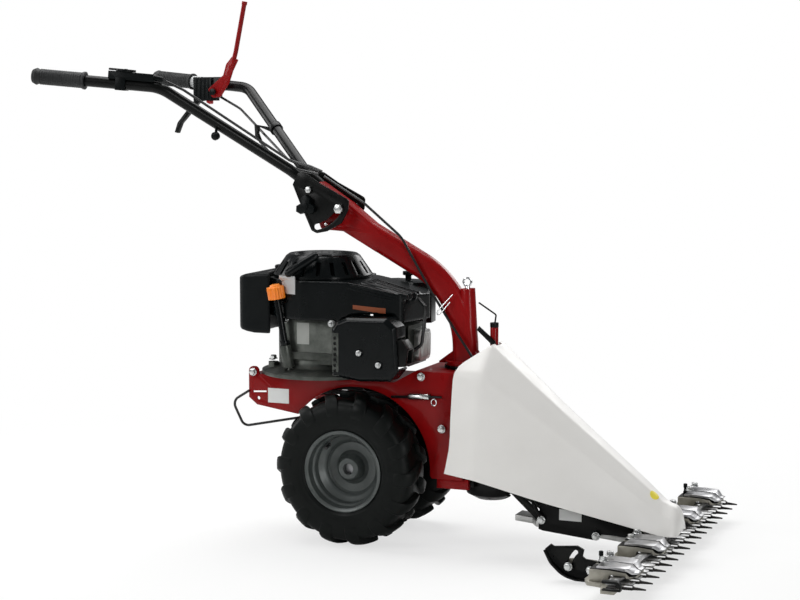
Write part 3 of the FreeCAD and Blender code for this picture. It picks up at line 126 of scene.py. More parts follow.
def makeFloor():
    # a pale floor that takes the shadow near the machine and fades into the white further out
    mesh = bpy.data.meshes.new("floor")
    reach = 12.0
    corners = [(-reach, -reach, 0), (reach, -reach, 0), (reach, reach, 0), (-reach, reach, 0)]
    mesh.from_pydata(corners, [], [(0, 1, 2, 3)])
    floor = link(bpy.data.objects.new("floor", mesh))
    material = bpy.data.materials.new("floorWhite")
    material.use_nodes = True
    nodes, links = material.node_tree.nodes, material.node_tree.links
    nodes.clear()
    output = nodes.new("ShaderNodeOutputMaterial")
    matt = nodes.new("ShaderNodeBsdfDiffuse")
    matt.inputs["Color"].default_value = (*studio["floor"], 1)
    glow = nodes.new("ShaderNodeEmission")
    glow.inputs["Color"].default_value = (1, 1, 1, 1)
    glow.inputs["Strength"].default_value = 1.0
    coordinate = nodes.new("ShaderNodeTexCoord")
    distance = nodes.new("ShaderNodeVectorMath")
    distance.operation = "LENGTH"
    fade = nodes.new("ShaderNodeMapRange")
    fade.interpolation_type = "SMOOTHSTEP"
    fade.inputs["From Min"].default_value = 0.75
    fade.inputs["From Max"].default_value = 1.9
    fade.inputs["To Min"].default_value = studio["floorGlow"]
    fade.inputs["To Max"].default_value = 1.0
    path = nodes.new("ShaderNodeLightPath")
    share = nodes.new("ShaderNodeMath")
    share.operation = "MULTIPLY"
    links.new(coordinate.outputs["Object"], distance.inputs[0])
    links.new(distance.outputs["Value"], fade.inputs["Value"])
    links.new(fade.outputs["Result"], share.inputs[0])
    links.new(path.outputs["Is Camera Ray"], share.inputs[1])
    mix = nodes.new("ShaderNodeMixShader")
    links.new(share.outputs["Value"], mix.inputs["Fac"])
    links.new(matt.outputs["BSDF"], mix.inputs[1])
    links.new(glow.outputs["Emission"], mix.inputs[2])
    links.new(mix.outputs["Shader"], output.inputs["Surface"])
    mesh.materials.append(material)


makeCamera()
makeStudio()
makeFloor()
print("camera, lamps and floor")


# finishes: a soft change of colour, a change of gloss and a fine relief, each from its own noise
def startMaterial(name):
    material = bpy.data.materials.new(name)
    material.use_nodes = True
    nodes = material.node_tree.nodes
    nodes.clear()
    output = nodes.new("ShaderNodeOutputMaterial")
    shader = nodes.new("ShaderNodeBsdfPrincipled")
    material.node_tree.links.new(shader.outputs["BSDF"], output.inputs["Surface"])
    return material, shader


def noiseOn(material, scale, detail=3.0, stretch=(1, 1, 1)):
    nodes, links = material.node_tree.nodes, material.node_tree.links
    coordinate = nodes.new("ShaderNodeTexCoord")
    mapping = nodes.new("ShaderNodeMapping")
    mapping.inputs["Scale"].default_value = stretch
    noise = nodes.new("ShaderNodeTexNoise")
    noise.inputs["Scale"].default_value = scale
    noise.inputs["Detail"].default_value = detail
    noise.inputs["Roughness"].default_value = 0.6
    links.new(coordinate.outputs["Object"], mapping.inputs["Vector"])
    links.new(mapping.outputs["Vector"], noise.inputs["Vector"])
    return noise.outputs["Fac"]


def colourBetween(material, shader, factor, dark, light, low=0.35, high=0.65):
    nodes, links = material.node_tree.nodes, material.node_tree.links
    ramp = nodes.new("ShaderNodeValToRGB")
    ramp.color_ramp.elements[0].position = low
    ramp.color_ramp.elements[0].color = (*dark, 1)
    ramp.color_ramp.elements[1].position = high
    ramp.color_ramp.elements[1].color = (*light, 1)
    links.new(factor, ramp.inputs["Fac"])
    links.new(ramp.outputs["Color"], shader.inputs["Base Color"])


def glossBetween(material, shader, factor, smooth, rough):
    nodes, links = material.node_tree.nodes, material.node_tree.links
    spread = nodes.new("ShaderNodeMapRange")
    spread.inputs["From Min"].default_value = 0.3
    spread.inputs["From Max"].default_value = 0.7
    spread.inputs["To Min"].default_value = smooth
    spread.inputs["To Max"].default_value = rough
    links.new(factor, spread.inputs["Value"])
    links.new(spread.outputs["Result"], shader.inputs["Roughness"])


def reliefFrom(material, shader, height, strength, depth):
    nodes, links = material.node_tree.nodes, material.node_tree.links
    bump = nodes.new("ShaderNodeBump")
    bump.inputs["Strength"].default_value = strength
    bump.inputs["Distance"].default_value = depth
    links.new(height, bump.inputs["Height"])
    links.new(bump.outputs["Normal"], shader.inputs["Normal"])


def makeFinish(name, look):
    material, shader = startMaterial(name)
    stretch = look.get("stretch", (1, 1, 1))
    patch = noiseOn(material, look.get("patch", 9), 4, stretch)
    colourBetween(material, shader, patch, look["dark"], look["light"])
    gloss = noiseOn(material, look.get("glossPatch", 24), 3, stretch)
    glossBetween(material, shader, gloss, *look["rough"])
    relief = noiseOn(material, look["grain"], 2, stretch)
    reliefFrom(material, shader, relief, look["relief"], look.get("depth", 0.0004))
    shader.inputs["Metallic"].default_value = look.get("metal", 0.0)
    shader.inputs["Coat Weight"].default_value = look.get("coat", 0.0)
    shader.inputs["Coat Roughness"].default_value = look.get("coatRough", 0.08)
    shader.inputs["Specular IOR Level"].default_value = look.get("shine", 0.5)
    return material


finishLooks = {
    "redPaint": dict(dark=(0.185, 0.0020, 0.0026), light=(0.265, 0.0032, 0.0040), rough=(0.26, 0.38),
        grain=260, relief=0.04, coat=0.16, coatRough=0.06, patch=5, shine=0.12),
    "blackPaint": dict(dark=(0.0012, 0.0015, 0.0014), light=(0.0030, 0.0034, 0.0032),
        rough=(0.26, 0.40), grain=420, relief=0.08, coat=0.04, coatRough=0.2, shine=0.15),
    "rimPaint": dict(dark=(0.052, 0.060, 0.058), light=(0.082, 0.092, 0.089), rough=(0.34, 0.5),
        grain=340, relief=0.10, metal=0.35, coat=0.2, coatRough=0.3, patch=14),
    "axleSteel": dict(dark=(0.16, 0.16, 0.165), light=(0.30, 0.30, 0.31), rough=(0.30, 0.45), grain=600,
        relief=0.12, metal=1.0, stretch=(1, 9, 1)),
    "zincPlate": dict(dark=(0.52, 0.53, 0.53), light=(0.74, 0.75, 0.74), rough=(0.20, 0.36), grain=520,
        relief=0.10, metal=1.0, patch=60),
    "chromePlate": dict(dark=(0.78, 0.79, 0.80), light=(0.86, 0.87, 0.88), rough=(0.05, 0.12),
        grain=300, relief=0.02, metal=1.0),
    "greyCast": dict(dark=(0.048, 0.053, 0.047), light=(0.105, 0.112, 0.101), rough=(0.34, 0.50),
        grain=820, relief=0.34, metal=0.75, patch=22, depth=0.0006),
    "brightCast": dict(dark=(0.42, 0.42, 0.41), light=(0.62, 0.62, 0.61), rough=(0.28, 0.44), grain=700,
        relief=0.26, metal=0.85, patch=26),
    "ironCast": dict(dark=(0.016, 0.016, 0.017), light=(0.032, 0.032, 0.034), rough=(0.45, 0.62),
        grain=650, relief=0.4, metal=0.6, depth=0.0006),
    "blackPlastic": dict(dark=(0.0010, 0.0020, 0.0022), light=(0.0026, 0.0040, 0.0044),
        rough=(0.32, 0.44), grain=1500, relief=0.10, depth=0.00015, patch=6, shine=0.13),
    "glossPlastic": dict(dark=(0.0010, 0.0020, 0.0022), light=(0.0028, 0.0040, 0.0044),
        rough=(0.20, 0.30), grain=900, relief=0.04, depth=0.00015, coat=0.05, coatRough=0.15,
        shine=0.16),
    "orangePlastic": dict(dark=(0.86, 0.20, 0.008), light=(0.93, 0.27, 0.014), rough=(0.30, 0.42),
        grain=700, relief=0.08, coat=0.2),
    "redPlastic": dict(dark=(0.33, 0.007, 0.010), light=(0.43, 0.012, 0.016), rough=(0.26, 0.36),
        grain=700, relief=0.06, coat=0.3),
    "whitePlastic": dict(dark=(0.735, 0.722, 0.695), light=(0.79, 0.778, 0.752), rough=(0.34, 0.46),
        grain=520, relief=0.05, coat=0.12, coatRough=0.3, patch=3),
    "gripRubber": dict(dark=(0.010, 0.0108, 0.011), light=(0.018, 0.019, 0.0195), rough=(0.50, 0.66),
        grain=900, relief=0.2, shine=0.35),
    "sheathRubber": dict(dark=(0.0030, 0.0032, 0.0034), light=(0.0060, 0.0062, 0.0066),
        rough=(0.28, 0.42), grain=700, relief=0.08),
    "darkSteel": dict(dark=(0.016, 0.015, 0.014), light=(0.040, 0.037, 0.035), rough=(0.30, 0.46),
        grain=600, relief=0.2, metal=0.9, patch=40),
    "bladeSteel": dict(dark=(0.30, 0.30, 0.30), light=(0.46, 0.46, 0.46), rough=(0.24, 0.40), grain=420,
        relief=0.2, metal=1.0, stretch=(7, 1, 1), patch=40),
    "tanSteel": dict(dark=(0.24, 0.23, 0.195), light=(0.35, 0.335, 0.29), rough=(0.38, 0.55), grain=500,
        relief=0.2, metal=0.65, patch=30),
    "strapSteel": dict(dark=(0.34, 0.34, 0.35), light=(0.50, 0.50, 0.51), rough=(0.26, 0.38), grain=500,
        relief=0.02, metal=1.0, patch=30),
    "paleLabel": dict(dark=(0.60, 0.61, 0.60), light=(0.70, 0.71, 0.70), rough=(0.35, 0.5), grain=400,
        relief=0.04),
    "silverLabel": dict(dark=(0.40, 0.41, 0.41), light=(0.50, 0.51, 0.51), rough=(0.40, 0.52),
        grain=400, relief=0.03, metal=0.2, patch=4),
    "yellowLabel": dict(dark=(0.78, 0.66, 0.06), light=(0.86, 0.74, 0.10), rough=(0.35, 0.5), grain=400,
        relief=0.04),
    "stripeRust": dict(dark=(0.20, 0.045, 0.012), light=(0.28, 0.065, 0.016), rough=(0.35, 0.5),
        grain=500, relief=0.06),
    # the pale label darkened with painted shade, for the crankcase label that sits in shade
    "greyLabel": dict(dark=(0.26, 0.27, 0.25), light=(0.34, 0.35, 0.33), rough=(0.35, 0.5), grain=400,
        relief=0.04),
}
finish = {name: makeFinish(name, look) for name, look in finishLooks.items()}

tyreLook = {"black": (0.0010, 0.0020, 0.0017), "worn": (0.0028, 0.0040, 0.0035)}


def makeTyreRubber():
    # black rubber with a fine mould grain and a breath of dust
    material, shader = startMaterial("tyreRubber")
    nodes, links = material.node_tree.nodes, material.node_tree.links
    wear = noiseOn(material, 16, 5)
    colourBetween(material, shader, wear, tyreLook["black"], tyreLook["worn"], 0.4, 0.7)
    glossBetween(material, shader, noiseOn(material, 34, 3), 0.36, 0.56)
    reliefFrom(material, shader, noiseOn(material, 620, 3), 0.25, 0.0004)
    shader.inputs["Specular IOR Level"].default_value = 0.15
    return material


finish["tyreRubber"] = makeTyreRubber()
slotFinish = {
    "tyre": "tyreRubber", "rim": "rimPaint", "axle_steel": "axleSteel", "red_paint": "redPaint",
    "black_paint": "blackPaint", "zinc": "zincPlate", "chrome_pin": "chromePlate", "grey_cast": "greyCast",
    "bright_cast": "brightCast", "black_plastic": "blackPlastic", "gloss_black": "glossPlastic",
    "orange_plastic": "orangePlastic", "red_plastic": "redPlastic", "white_plastic": "whitePlastic",
    "grip_rubber": "gripRubber", "cable_sheath": "sheathRubber", "cast_iron": "ironCast",
    "dark_steel": "darkSteel", "blade_steel": "bladeSteel", "tan_steel": "tanSteel",
    "strap_steel": "strapSteel",
}
print("finishes")


# pieces and their meshes
made = {}


def addPiece(name, mesh, body, slotName, surface=None, replaced=(), smooth=32):
    piece = link(bpy.data.objects.new(name, mesh))
    mesh.materials.clear()
    mesh.materials.append(surface or finish[slotFinish[slotName]])
    mesh.shade_smooth()
    mesh.set_sharp_from_angle(angle=math.radians(smooth))
    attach(piece, body)
    if replaced:
        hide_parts(*replaced)
    made[name] = (mesh, body, slotName)
    return piece


def meshOf(work, name):
    bmesh.ops.recalc_face_normals(work, faces=work.faces)
    mesh = bpy.data.meshes.new(name)
    work.to_mesh(mesh)
    work.free()
    return mesh


def plainMesh(holder, name):
    # the evaluated object as a mesh of its own; the holder goes
    bpy.context.view_layer.update()
    graph = bpy.context.evaluated_depsgraph_get()
    mesh = bpy.data.meshes.new_from_object(holder.evaluated_get(graph), depsgraph=graph)
    mesh.name = name
    bpy.data.objects.remove(holder)
    return mesh


def softEdges(mesh, width, steps=2, angle=30):
    holder = link(bpy.data.objects.new("softening", mesh))
    bevel = holder.modifiers.new("softEdges", "BEVEL")
    bevel.width = width / 1000
    bevel.segments = steps
    bevel.limit_method = "ANGLE"
    bevel.angle_limit = math.radians(angle)
    bevel.miter_outer = "MITER_ARC"
    return plainMesh(holder, mesh.name + "Soft")


def cutWith(mesh, cutters, name):
    # the mesh less the cutters' shapes
    holder = link(bpy.data.objects.new("cutting", mesh))
    tools = []
    for work in cutters:
        tool = link(bpy.data.objects.new("cutter", meshOf(work, "cutter")))
        cut = holder.modifiers.new("cut", "BOOLEAN")
        cut.operation = "DIFFERENCE"
        cut.solver = "EXACT"
        cut.object = tool
        tools.append(tool)
    rest = plainMesh(holder, name)
    for tool in tools:
        bpy.data.objects.remove(tool)
    return rest


def roundedLine(corners, steps=6):
    # a path through corners (a, b, radius), its corners rounded
    path = []
    for i, (a, b, radius) in enumerate(corners):
        if radius <= 0 or i in (0, len(corners) - 1):
            path.append((a, b))
            continue
        here = Vector((a, b))
        back = Vector(corners[i - 1][:2]) - here
        on = Vector(corners[i + 1][:2]) - here
        turn = math.pi - back.angle(on)
        reach = min(radius * math.tan(turn / 2), back.length * 0.48, on.length * 0.48)
        start, end = here + back.normalized() * reach, here + on.normalized() * reach
        for k in range(steps + 1):
            t = k / steps
            path.append(tuple(start * (1 - t) ** 2 + here * 2 * t * (1 - t) + end * t ** 2))
    return path


def dressNode(node, edge=0.0, surface=None, smooth=34):
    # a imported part's own shape with merged corners and softened edges
    work = bmesh.new()
    work.from_mesh(frame["nodes"][node].data)
    bmesh.ops.remove_doubles(work, verts=work.verts, dist=1e-5)
    bmesh.ops.dissolve_limit(work, angle_limit=math.radians(1.2), verts=work.verts, edges=work.edges)
    mesh = bpy.data.meshes.new(node + "Skin")
    work.to_mesh(mesh)
    work.free()
    if edge:
        mesh = softEdges(mesh, edge)
    return addPiece(node + "Skin", mesh, bodyOf[node], slotOf[node], surface, (node,), smooth)


def mouldNode(node, voxel, passes, smooth=60):
    # a moulded part: its shape remeshed evenly and rounded off
    work = bmesh.new()
    work.from_mesh(frame["nodes"][node].data)
    bmesh.ops.remove_doubles(work, verts=work.verts, dist=1e-5)
    mesh = bpy.data.meshes.new(node + "Mould")
    work.to_mesh(mesh)
    work.free()
    holder = link(bpy.data.objects.new("moulding", mesh))
    remesh = holder.modifiers.new("evenSkin", "REMESH")
    remesh.mode = "VOXEL"
    remesh.voxel_size = voxel / 1000
    relax = holder.modifiers.new("roundedOff", "SMOOTH")
    relax.factor = 0.5
    relax.iterations = passes
    mould = plainMesh(holder, node + "Mould")
    return addPiece(node + "Mould", mould, bodyOf[node], slotOf[node], None, (node,), smooth)


def spinProfile(profile, steps, middle, axis="y"):
    # profile is (along the axis, radius); the ends close on the axis where the radius is 0
    work = bmesh.new()
    rings = []
    for along, radius in profile:
        ring = []
        for i in range(steps if radius > 1e-6 else 1):
            turn = 2 * math.pi * i / steps
            a, b = radius * math.cos(turn), radius * math.sin(turn)
            offset = {"x": (along, a, b), "y": (b, along, a), "z": (a, b, along)}[axis]
            ring.append(work.verts.new(spot(*(m + o for m, o in zip(middle, offset)))))
        rings.append(ring)
    for near, far in zip(rings, rings[1:]):
        for i in range(steps):
            j = (i + 1) % steps
            corners = [near[i % len(near)], near[j % len(near)], far[j % len(far)], far[i % len(far)]]
            unique = list(dict.fromkeys(corners))
            if len(unique) > 2:
                work.faces.new(unique)
    return work


def closedSpin(profile, steps, middle, axis="y"):
    work = spinProfile(list(profile) + [profile[0]], steps, middle, axis)
    bmesh.ops.remove_doubles(work, verts=work.verts, dist=1e-6)
    return work


def turnWork(work, base, ahead):
    # from an upright axis through the wheel's middle to one through base along ahead
    turn = Vector((0, 0, 1)).rotation_difference(Vector(ahead))
    move = Matrix.Translation(spot(*base)) @ turn.to_matrix().to_4x4() @ Matrix.Translation(-spot(0, 0, 0))
    bmesh.ops.transform(work, matrix=move, verts=work.verts)
    return work


def joinRings(work, rings, closed=True):
    # quads between neighbouring rings of corners; closed rings go all the way round
    count = len(rings[0])
    for near, far in zip(rings, rings[1:]):
        for i in range(count if closed else count - 1):
            j = (i + 1) % count
            work.faces.new([near[i], near[j], far[j], far[i]])


def closeEnds(work, rings):
    work.faces.new(rings[0])
    work.faces.new(list(reversed(rings[-1])))


def prismWork(corners, axis, low, high):
    # corners lie across the axis: (y, z), (x, z) or (x, y)
    place = {"x": lambda level, a, b: (level, a, b), "y": lambda level, a, b: (a, level, b),
             "z": lambda level, a, b: (a, b, level)}[axis]
    return loftWork([[place(level, a, b) for a, b in corners] for level in (low, high)])


def loftWork(sections):
    # sections are rings of places with the same count; both ends are closed
    work = bmesh.new()
    rings = [[work.verts.new(spot(*corner)) for corner in section] for section in sections]
    joinRings(work, rings)
    closeEnds(work, rings)
    return work


def joinWorks(works):
    whole = bmesh.new()
    for work in works:
        bmesh.ops.recalc_face_normals(work, faces=work.faces)
        mesh = bpy.data.meshes.new("part")
        work.to_mesh(mesh)
        work.free()
        whole.from_mesh(mesh)
        bpy.data.meshes.remove(mesh)
    return whole


# node trees
def startTree(name, inputs):
    tree = bpy.data.node_groups.new(name, "GeometryNodeTree")
    tree.interface.new_socket("Geometry", in_out="INPUT", socket_type="NodeSocketGeometry")
    for label, kind in inputs:
        tree.interface.new_socket(label, in_out="INPUT", socket_type="NodeSocket" + kind)
    tree.interface.new_socket("Geometry", in_out="OUTPUT", socket_type="NodeSocketGeometry")
    return tree, tree.nodes.new("NodeGroupInput"), tree.nodes.new("NodeGroupOutput")


def wire(tree, pairs):
    for output, socket in pairs:
        tree.links.new(output, socket)


def endTree(tree, start, end, instances):
    realize = tree.nodes.new("GeometryNodeRealizeInstances")
    paint = tree.nodes.new("GeometryNodeSetMaterial")
    wire(tree, [
        (instances, realize.inputs[0]),
        (realize.outputs[0], paint.inputs["Geometry"]),
        (start.outputs["Finish"], paint.inputs["Material"]),
        (paint.outputs["Geometry"], end.inputs["Geometry"]),
    ])


def makeRingTree():
    # copies of one item round an axis through Pivot
    inputs = [("Count", "Int"), ("Pivot", "Vector"), ("Step", "Vector"), ("Lead", "Vector"),
              ("Finish", "Material")]
    tree, start, end = startTree("ringOfCopies", inputs)
    line = tree.nodes.new("GeometryNodeMeshLine")
    line.inputs["Offset"].default_value = (0, 0, 0)
    copies = tree.nodes.new("GeometryNodeInstanceOnPoints")
    index = tree.nodes.new("GeometryNodeInputIndex")
    turn = tree.nodes.new("ShaderNodeVectorMath")
    turn.operation = "SCALE"
    lead = tree.nodes.new("ShaderNodeVectorMath")
    lead.operation = "ADD"
    rotate = tree.nodes.new("GeometryNodeRotateInstances")
    rotate.inputs["Local Space"].default_value = False
    wire(tree, [
        (start.outputs["Count"], line.inputs["Count"]),
        (line.outputs["Mesh"], copies.inputs["Points"]),
        (start.outputs["Geometry"], copies.inputs["Instance"]),
        (start.outputs["Step"], turn.inputs[0]),
        (index.outputs["Index"], turn.inputs["Scale"]),
        (turn.outputs["Vector"], lead.inputs[0]),
        (start.outputs["Lead"], lead.inputs[1]),
        (copies.outputs["Instances"], rotate.inputs["Instances"]),
        (lead.outputs["Vector"], rotate.inputs["Rotation"]),
        (start.outputs["Pivot"], rotate.inputs["Pivot Point"]),
    ])
    endTree(tree, start, end, rotate.outputs["Instances"])
    return tree


def makeRowTree():
    # copies of one item, each a step on from the one before
    inputs = [("Count", "Int"), ("Start", "Vector"), ("Step", "Vector"), ("Finish", "Material")]
    tree, start, end = startTree("rowOfCopies", inputs)
    line = tree.nodes.new("GeometryNodeMeshLine")
    copies = tree.nodes.new("GeometryNodeInstanceOnPoints")
    wire(tree, [
        (start.outputs["Count"], line.inputs["Count"]),
        (start.outputs["Start"], line.inputs["Start Location"]),
        (start.outputs["Step"], line.inputs["Offset"]),
        (line.outputs["Mesh"], copies.inputs["Points"]),
        (start.outputs["Geometry"], copies.inputs["Instance"]),
    ])
    endTree(tree, start, end, copies.outputs["Instances"])
    return tree


def makeSpotTree():
    # copies of another object at the mesh's points, turned to each point's way
    tree, start, end = startTree("copiesAtSpots", [("Item", "Object"), ("Finish", "Material")])
    item = tree.nodes.new("GeometryNodeObjectInfo")
    way = tree.nodes.new("GeometryNodeInputNamedAttribute")
    way.data_type = "FLOAT_VECTOR"
    way.inputs["Name"].default_value = "way"
    align = tree.nodes.new("FunctionNodeAlignRotationToVector")
    align.axis = "Z"
    copies = tree.nodes.new("GeometryNodeInstanceOnPoints")
    wire(tree, [
        (start.outputs["Item"], item.inputs["Object"]),
        (start.outputs["Geometry"], copies.inputs["Points"]),
        (item.outputs["Geometry"], copies.inputs["Instance"]),
        (way.outputs["Attribute"], align.inputs["Vector"]),
        (align.outputs["Rotation"], copies.inputs["Rotation"]),
    ])
    endTree(tree, start, end, copies.outputs["Instances"])
    return tree


def makeSheathTree():
    # a round skin of one thickness along a curve
    tree, start, end = startTree("sheathOnCurve", [("Radius", "Float"), ("Sides", "Int"),
                                                   ("Finish", "Material")])
    ring = tree.nodes.new("GeometryNodeCurvePrimitiveCircle")
    skin = tree.nodes.new("GeometryNodeCurveToMesh")
    skin.inputs["Fill Caps"].default_value = True
    wire(tree, [
        (start.outputs["Radius"], ring.inputs["Radius"]),
        (start.outputs["Sides"], ring.inputs["Resolution"]),
        (start.outputs["Geometry"], skin.inputs["Curve"]),
        (ring.outputs["Curve"], skin.inputs["Profile Curve"]),
    ])
    endTree(tree, start, end, skin.outputs["Mesh"])
    return tree


ringTree = makeRingTree()
rowTree = makeRowTree()
spotTree = makeSpotTree()
sheathTree = makeSheathTree()


def runTree(source, tree, values, name):
    holder = link(bpy.data.objects.new("treeHolder", source))
    modifier = holder.modifiers.new("tree", "NODES")
    modifier.node_group = tree
    sockets = {s.name: s.identifier for s in tree.interface.items_tree if s.in_out == "INPUT"}
    for label, value in values.items():
        modifier[sockets[label]] = value
    return plainMesh(holder, name)


def ringOf(work, count, pivot, axis, surface, name, lead=0.0):
    step = Vector(axis) * (2 * math.pi / count)
    values = {"Count": count, "Pivot": spot(*pivot), "Step": step, "Lead": Vector(axis) * lead,
              "Finish": surface}
    return runTree(meshOf(work, name + "Item"), ringTree, values, name)


def rowOf(work, count, start, step, surface, name):
    values = {"Count": count, "Start": Vector(start) / 1000, "Step": Vector(step) / 1000, "Finish": surface}
    return runTree(meshOf(work, name + "Item"), rowTree, values, name)


def copiesAt(item, places, surface, name):
    # places are (place, way)
    points = bpy.data.meshes.new(name + "Spots")
    points.from_pydata([spot(*place) for place, way in places], [], [])
    ways = points.attributes.new("way", "FLOAT_VECTOR", "POINT")
    ways.data.foreach_set("vector", [c for place, way in places for c in way])
    return runTree(points, spotTree, {"Item": item, "Finish": surface}, name)


def addCopies(name, item, places, surface, node, smooth=30):
    mesh = copiesAt(item, places, finish[surface], name)
    bpy.data.objects.remove(item)
    return addPiece(name, mesh, bodyOf[node], slotOf[node], finish[surface], (), smooth)


def sheathAlong(points, radius, surface, name, sides=14, order=3):
    curve = bpy.data.curves.new(name + "Line", "CURVE")
    curve.dimensions = "3D"
    spline = curve.splines.new("NURBS")
    spline.points.add(len(points) - 1)
    for place, point in zip(points, spline.points):
        point.co = (*spot(*place), 1)
    spline.order_u = order
    spline.use_endpoint_u = True
    spline.resolution_u = 12
    return runTree(curve, sheathTree, {"Radius": radius / 1000, "Sides": sides, "Finish": surface}, name)


def surfaceOf(name):
    mesh = made[name][0]
    return BVHTree.FromPolygons([v.co for v in mesh.vertices], [list(p.vertices) for p in mesh.polygons])


probeReach = 0.06


def onSurface(tree, place, outward):
    # the surface's spot under a place, looked for from outside it
    start = spot(*place) + outward * probeReach
    hit = tree.ray_cast(start, -outward, probeReach * 2)[0]
    return hit if hit is not None else spot(*place)


def plateOn(base, centre, outward, outline, lift, rings=4, sink=0.6):
    # a thin plate that follows a piece's surface; the outline lies across the outward way, in millimetres
    tree = surfaceOf(base)
    outward = Vector(outward).normalized()
    across = Vector((0, 0, 1)).cross(outward).normalized()
    up = outward.cross(across)
    work = bmesh.new()
    fronts, backs = [], []
    for k in range(rings):
        share = (k + 1) / rings
        front, back = [], []
        for a, b in outline:
            place = Vector(centre) + across * a * share + up * b * share
            ground = onSurface(tree, place, outward)
            front.append(work.verts.new(ground + outward * lift / 1000))
            back.append(work.verts.new(ground - outward * sink / 1000))
        fronts.append(front)
        backs.append(back)
    for layers in (fronts, backs):
        work.faces.new(layers[0])
        joinRings(work, layers)
    joinRings(work, [fronts[-1], backs[-1]])
    return work


def quadOutline(corners, steps=6):
    path = []
    for i, (a, b) in enumerate(corners):
        c, d = corners[(i + 1) % len(corners)]
        path += [(a + (c - a) * k / steps, b + (d - b) * k / steps) for k in range(steps)]
    return path


def boxOutline(half, tall):
    return quadOutline([(-half, -tall), (half, -tall), (half, tall), (-half, tall)])


def roundOutline(radius, steps=20):
    turns = [2 * math.pi * i / steps for i in range(steps)]
    return [(radius * math.cos(t), radius * math.sin(t)) for t in turns]


def addMark(name, base, works, surface, smooth=40):
    mesh, body, slotName = made[base]
    return addPiece(name, meshOf(joinWorks(works), name), body, slotName, finish[surface], (), smooth)


print("tools ready")
# wheels
tyre = {"offset": 112, "level": 165, "lugs": 14, "reach": 165, "steps": 140}


def makeTyre(side, name):
    half = [(49.4, 85.0), (49.4, 91.4), (51.6, 93.6), (53.6, 97), (54.2, 98.8), (53.9, 100.6),
            (55.2, 106), (55.8, 114),
            (55.7, 124), (55.0, 134), (53.2, 142.5), (49.4, 149.4), (42.5, 154.2), (33, 157),
            (20, 158.6), (7, 159)]
    profile = [(-y, r) for y, r in half] + [(y, r) for y, r in reversed(half)]
    middle = (0, side * tyre["offset"], tyre["level"])
    work = closedSpin(profile, tyre["steps"], middle)
    addPiece(name + "Carcass", meshOf(work, name), "wheels", "tyre", None, (name,), 50)
    stations = [  # across, along the tread, top radius, half width, foot radius
        (0.4, -19, 170.2, 9.4, 155), (13, -12, 170.2, 10.4, 155), (25, -4, 169.2, 11.8, 153),
        (35, 2, 166.4, 13.2, 150),
        (43, 6.5, 162.0, 14.8, 146), (49, 9, 156.0, 16.2, 140), (53.2, 10.2, 148.4, 17.0, 133),
        (55.4, 10.6, 139.5, 16.6, 126),
        (56.2, 10.6, 131.5, 14.2, 122),
    ]
    for hand in (-1, 1):
        rings = []
        for across, along, top, wide, foot in stations:
            ring = []
            for radius, reach in ((foot, -wide - 3), (top - 1.2, -wide), (top, -wide + 2.5),
                                  (top + 0.3, 0), (top, wide - 2.5),
                                  (top - 1.2, wide), (foot, wide + 3)):
                turn = (along + reach) / tyre["reach"]
                y = middle[1] + hand * across
                ring.append((middle[0] + radius * math.sin(turn), y, middle[2] + radius * math.cos(turn)))
            rings.append(ring)
        lug = softEdges(meshOf(loftWork(rings), name + "Lug"), 1.6, 2, 34)
        work = bmesh.new()
        work.from_mesh(lug)
        stagger = 0 if hand > 0 else math.pi / tyre["lugs"]
        lead = math.radians(8 if side > 0 else 0) + stagger
        ring = ringOf(work, tyre["lugs"], middle, (0, 1, 0), finish["tyreRubber"], name + "Lugs", lead)
        addPiece("%sLugs%s" % (name, "Left" if hand > 0 else "Right"), ring, "wheels", "tyre", None, (), 50)


rimShape = {"flange": 90.7, "bore": 12, "steps": 120}


def makeRim(side, name):
    out = -side
    flange = rimShape["flange"]
    profile = [
        (-52.6, flange - 1.2), (-51.4, flange), (-49.9, flange - 0.6), (-49.7, 85.4), (-48, 84.3),
        (48, 84.3),
        (49.7, 85.4), (49.9, flange - 0.6), (51.4, flange), (52.8, flange - 1.4), (51, 83), (46, 81),
        (-20, 79.4), (-6, 71.5),
        (10, 60), (13.5, 54), (13.5, 40), (18, 34), (26, 29), (26, 12.3), (-19.4, 12.3), (-20, 13),
        (-20, 21.5),
        (-18.8, 23.4), (-12, 25.8), (2, 31), (7.5, 38), (8.2, 46), (7.4, 55), (3.5, 58.6), (0.2, 58.2),
        (-3.4, 59.6),
        (-8.4, 65), (-11.6, 70.5), (-15, 73.8), (-22, 74.6), (-28.5, 75.4), (-31.4, 77.4),
        (-33.2, 79.6), (-37, 80.8),
        (-45, 81.4), (-49.6, 82.4), (-51.6, 85.2), (-52.8, 88),
    ]
    middle = (0, side * tyre["offset"], tyre["level"])
    turned = [(along * out, radius) for along, radius in profile]
    work = closedSpin(turned, rimShape["steps"], middle)
    addPiece(name + "Disc", meshOf(work, name), "wheels", "rim", None, (name,), 26)
    # valve, with its cap, in the dish
    profile = [(0, 0), (0, 4.2), (3, 4.2), (4, 3), (16, 3), (16, 3.9), (24, 3.9), (25, 3), (25, 0)]
    stem = spinProfile(profile, 16, (0, 0, 0), "z")
    turnWork(stem, (-48, middle[1] + side * 12, middle[2] + 50), (0.10, side * 1.0, -0.16))
    addPiece(name + "Valve", meshOf(stem, name + "Valve"), "wheels", "cable_sheath")


makeTyre(-1, "tyre_right")
makeTyre(1, "tyre_left")
makeRim(-1, "rim_right")
makeRim(1, "rim_left")
print("wheels")


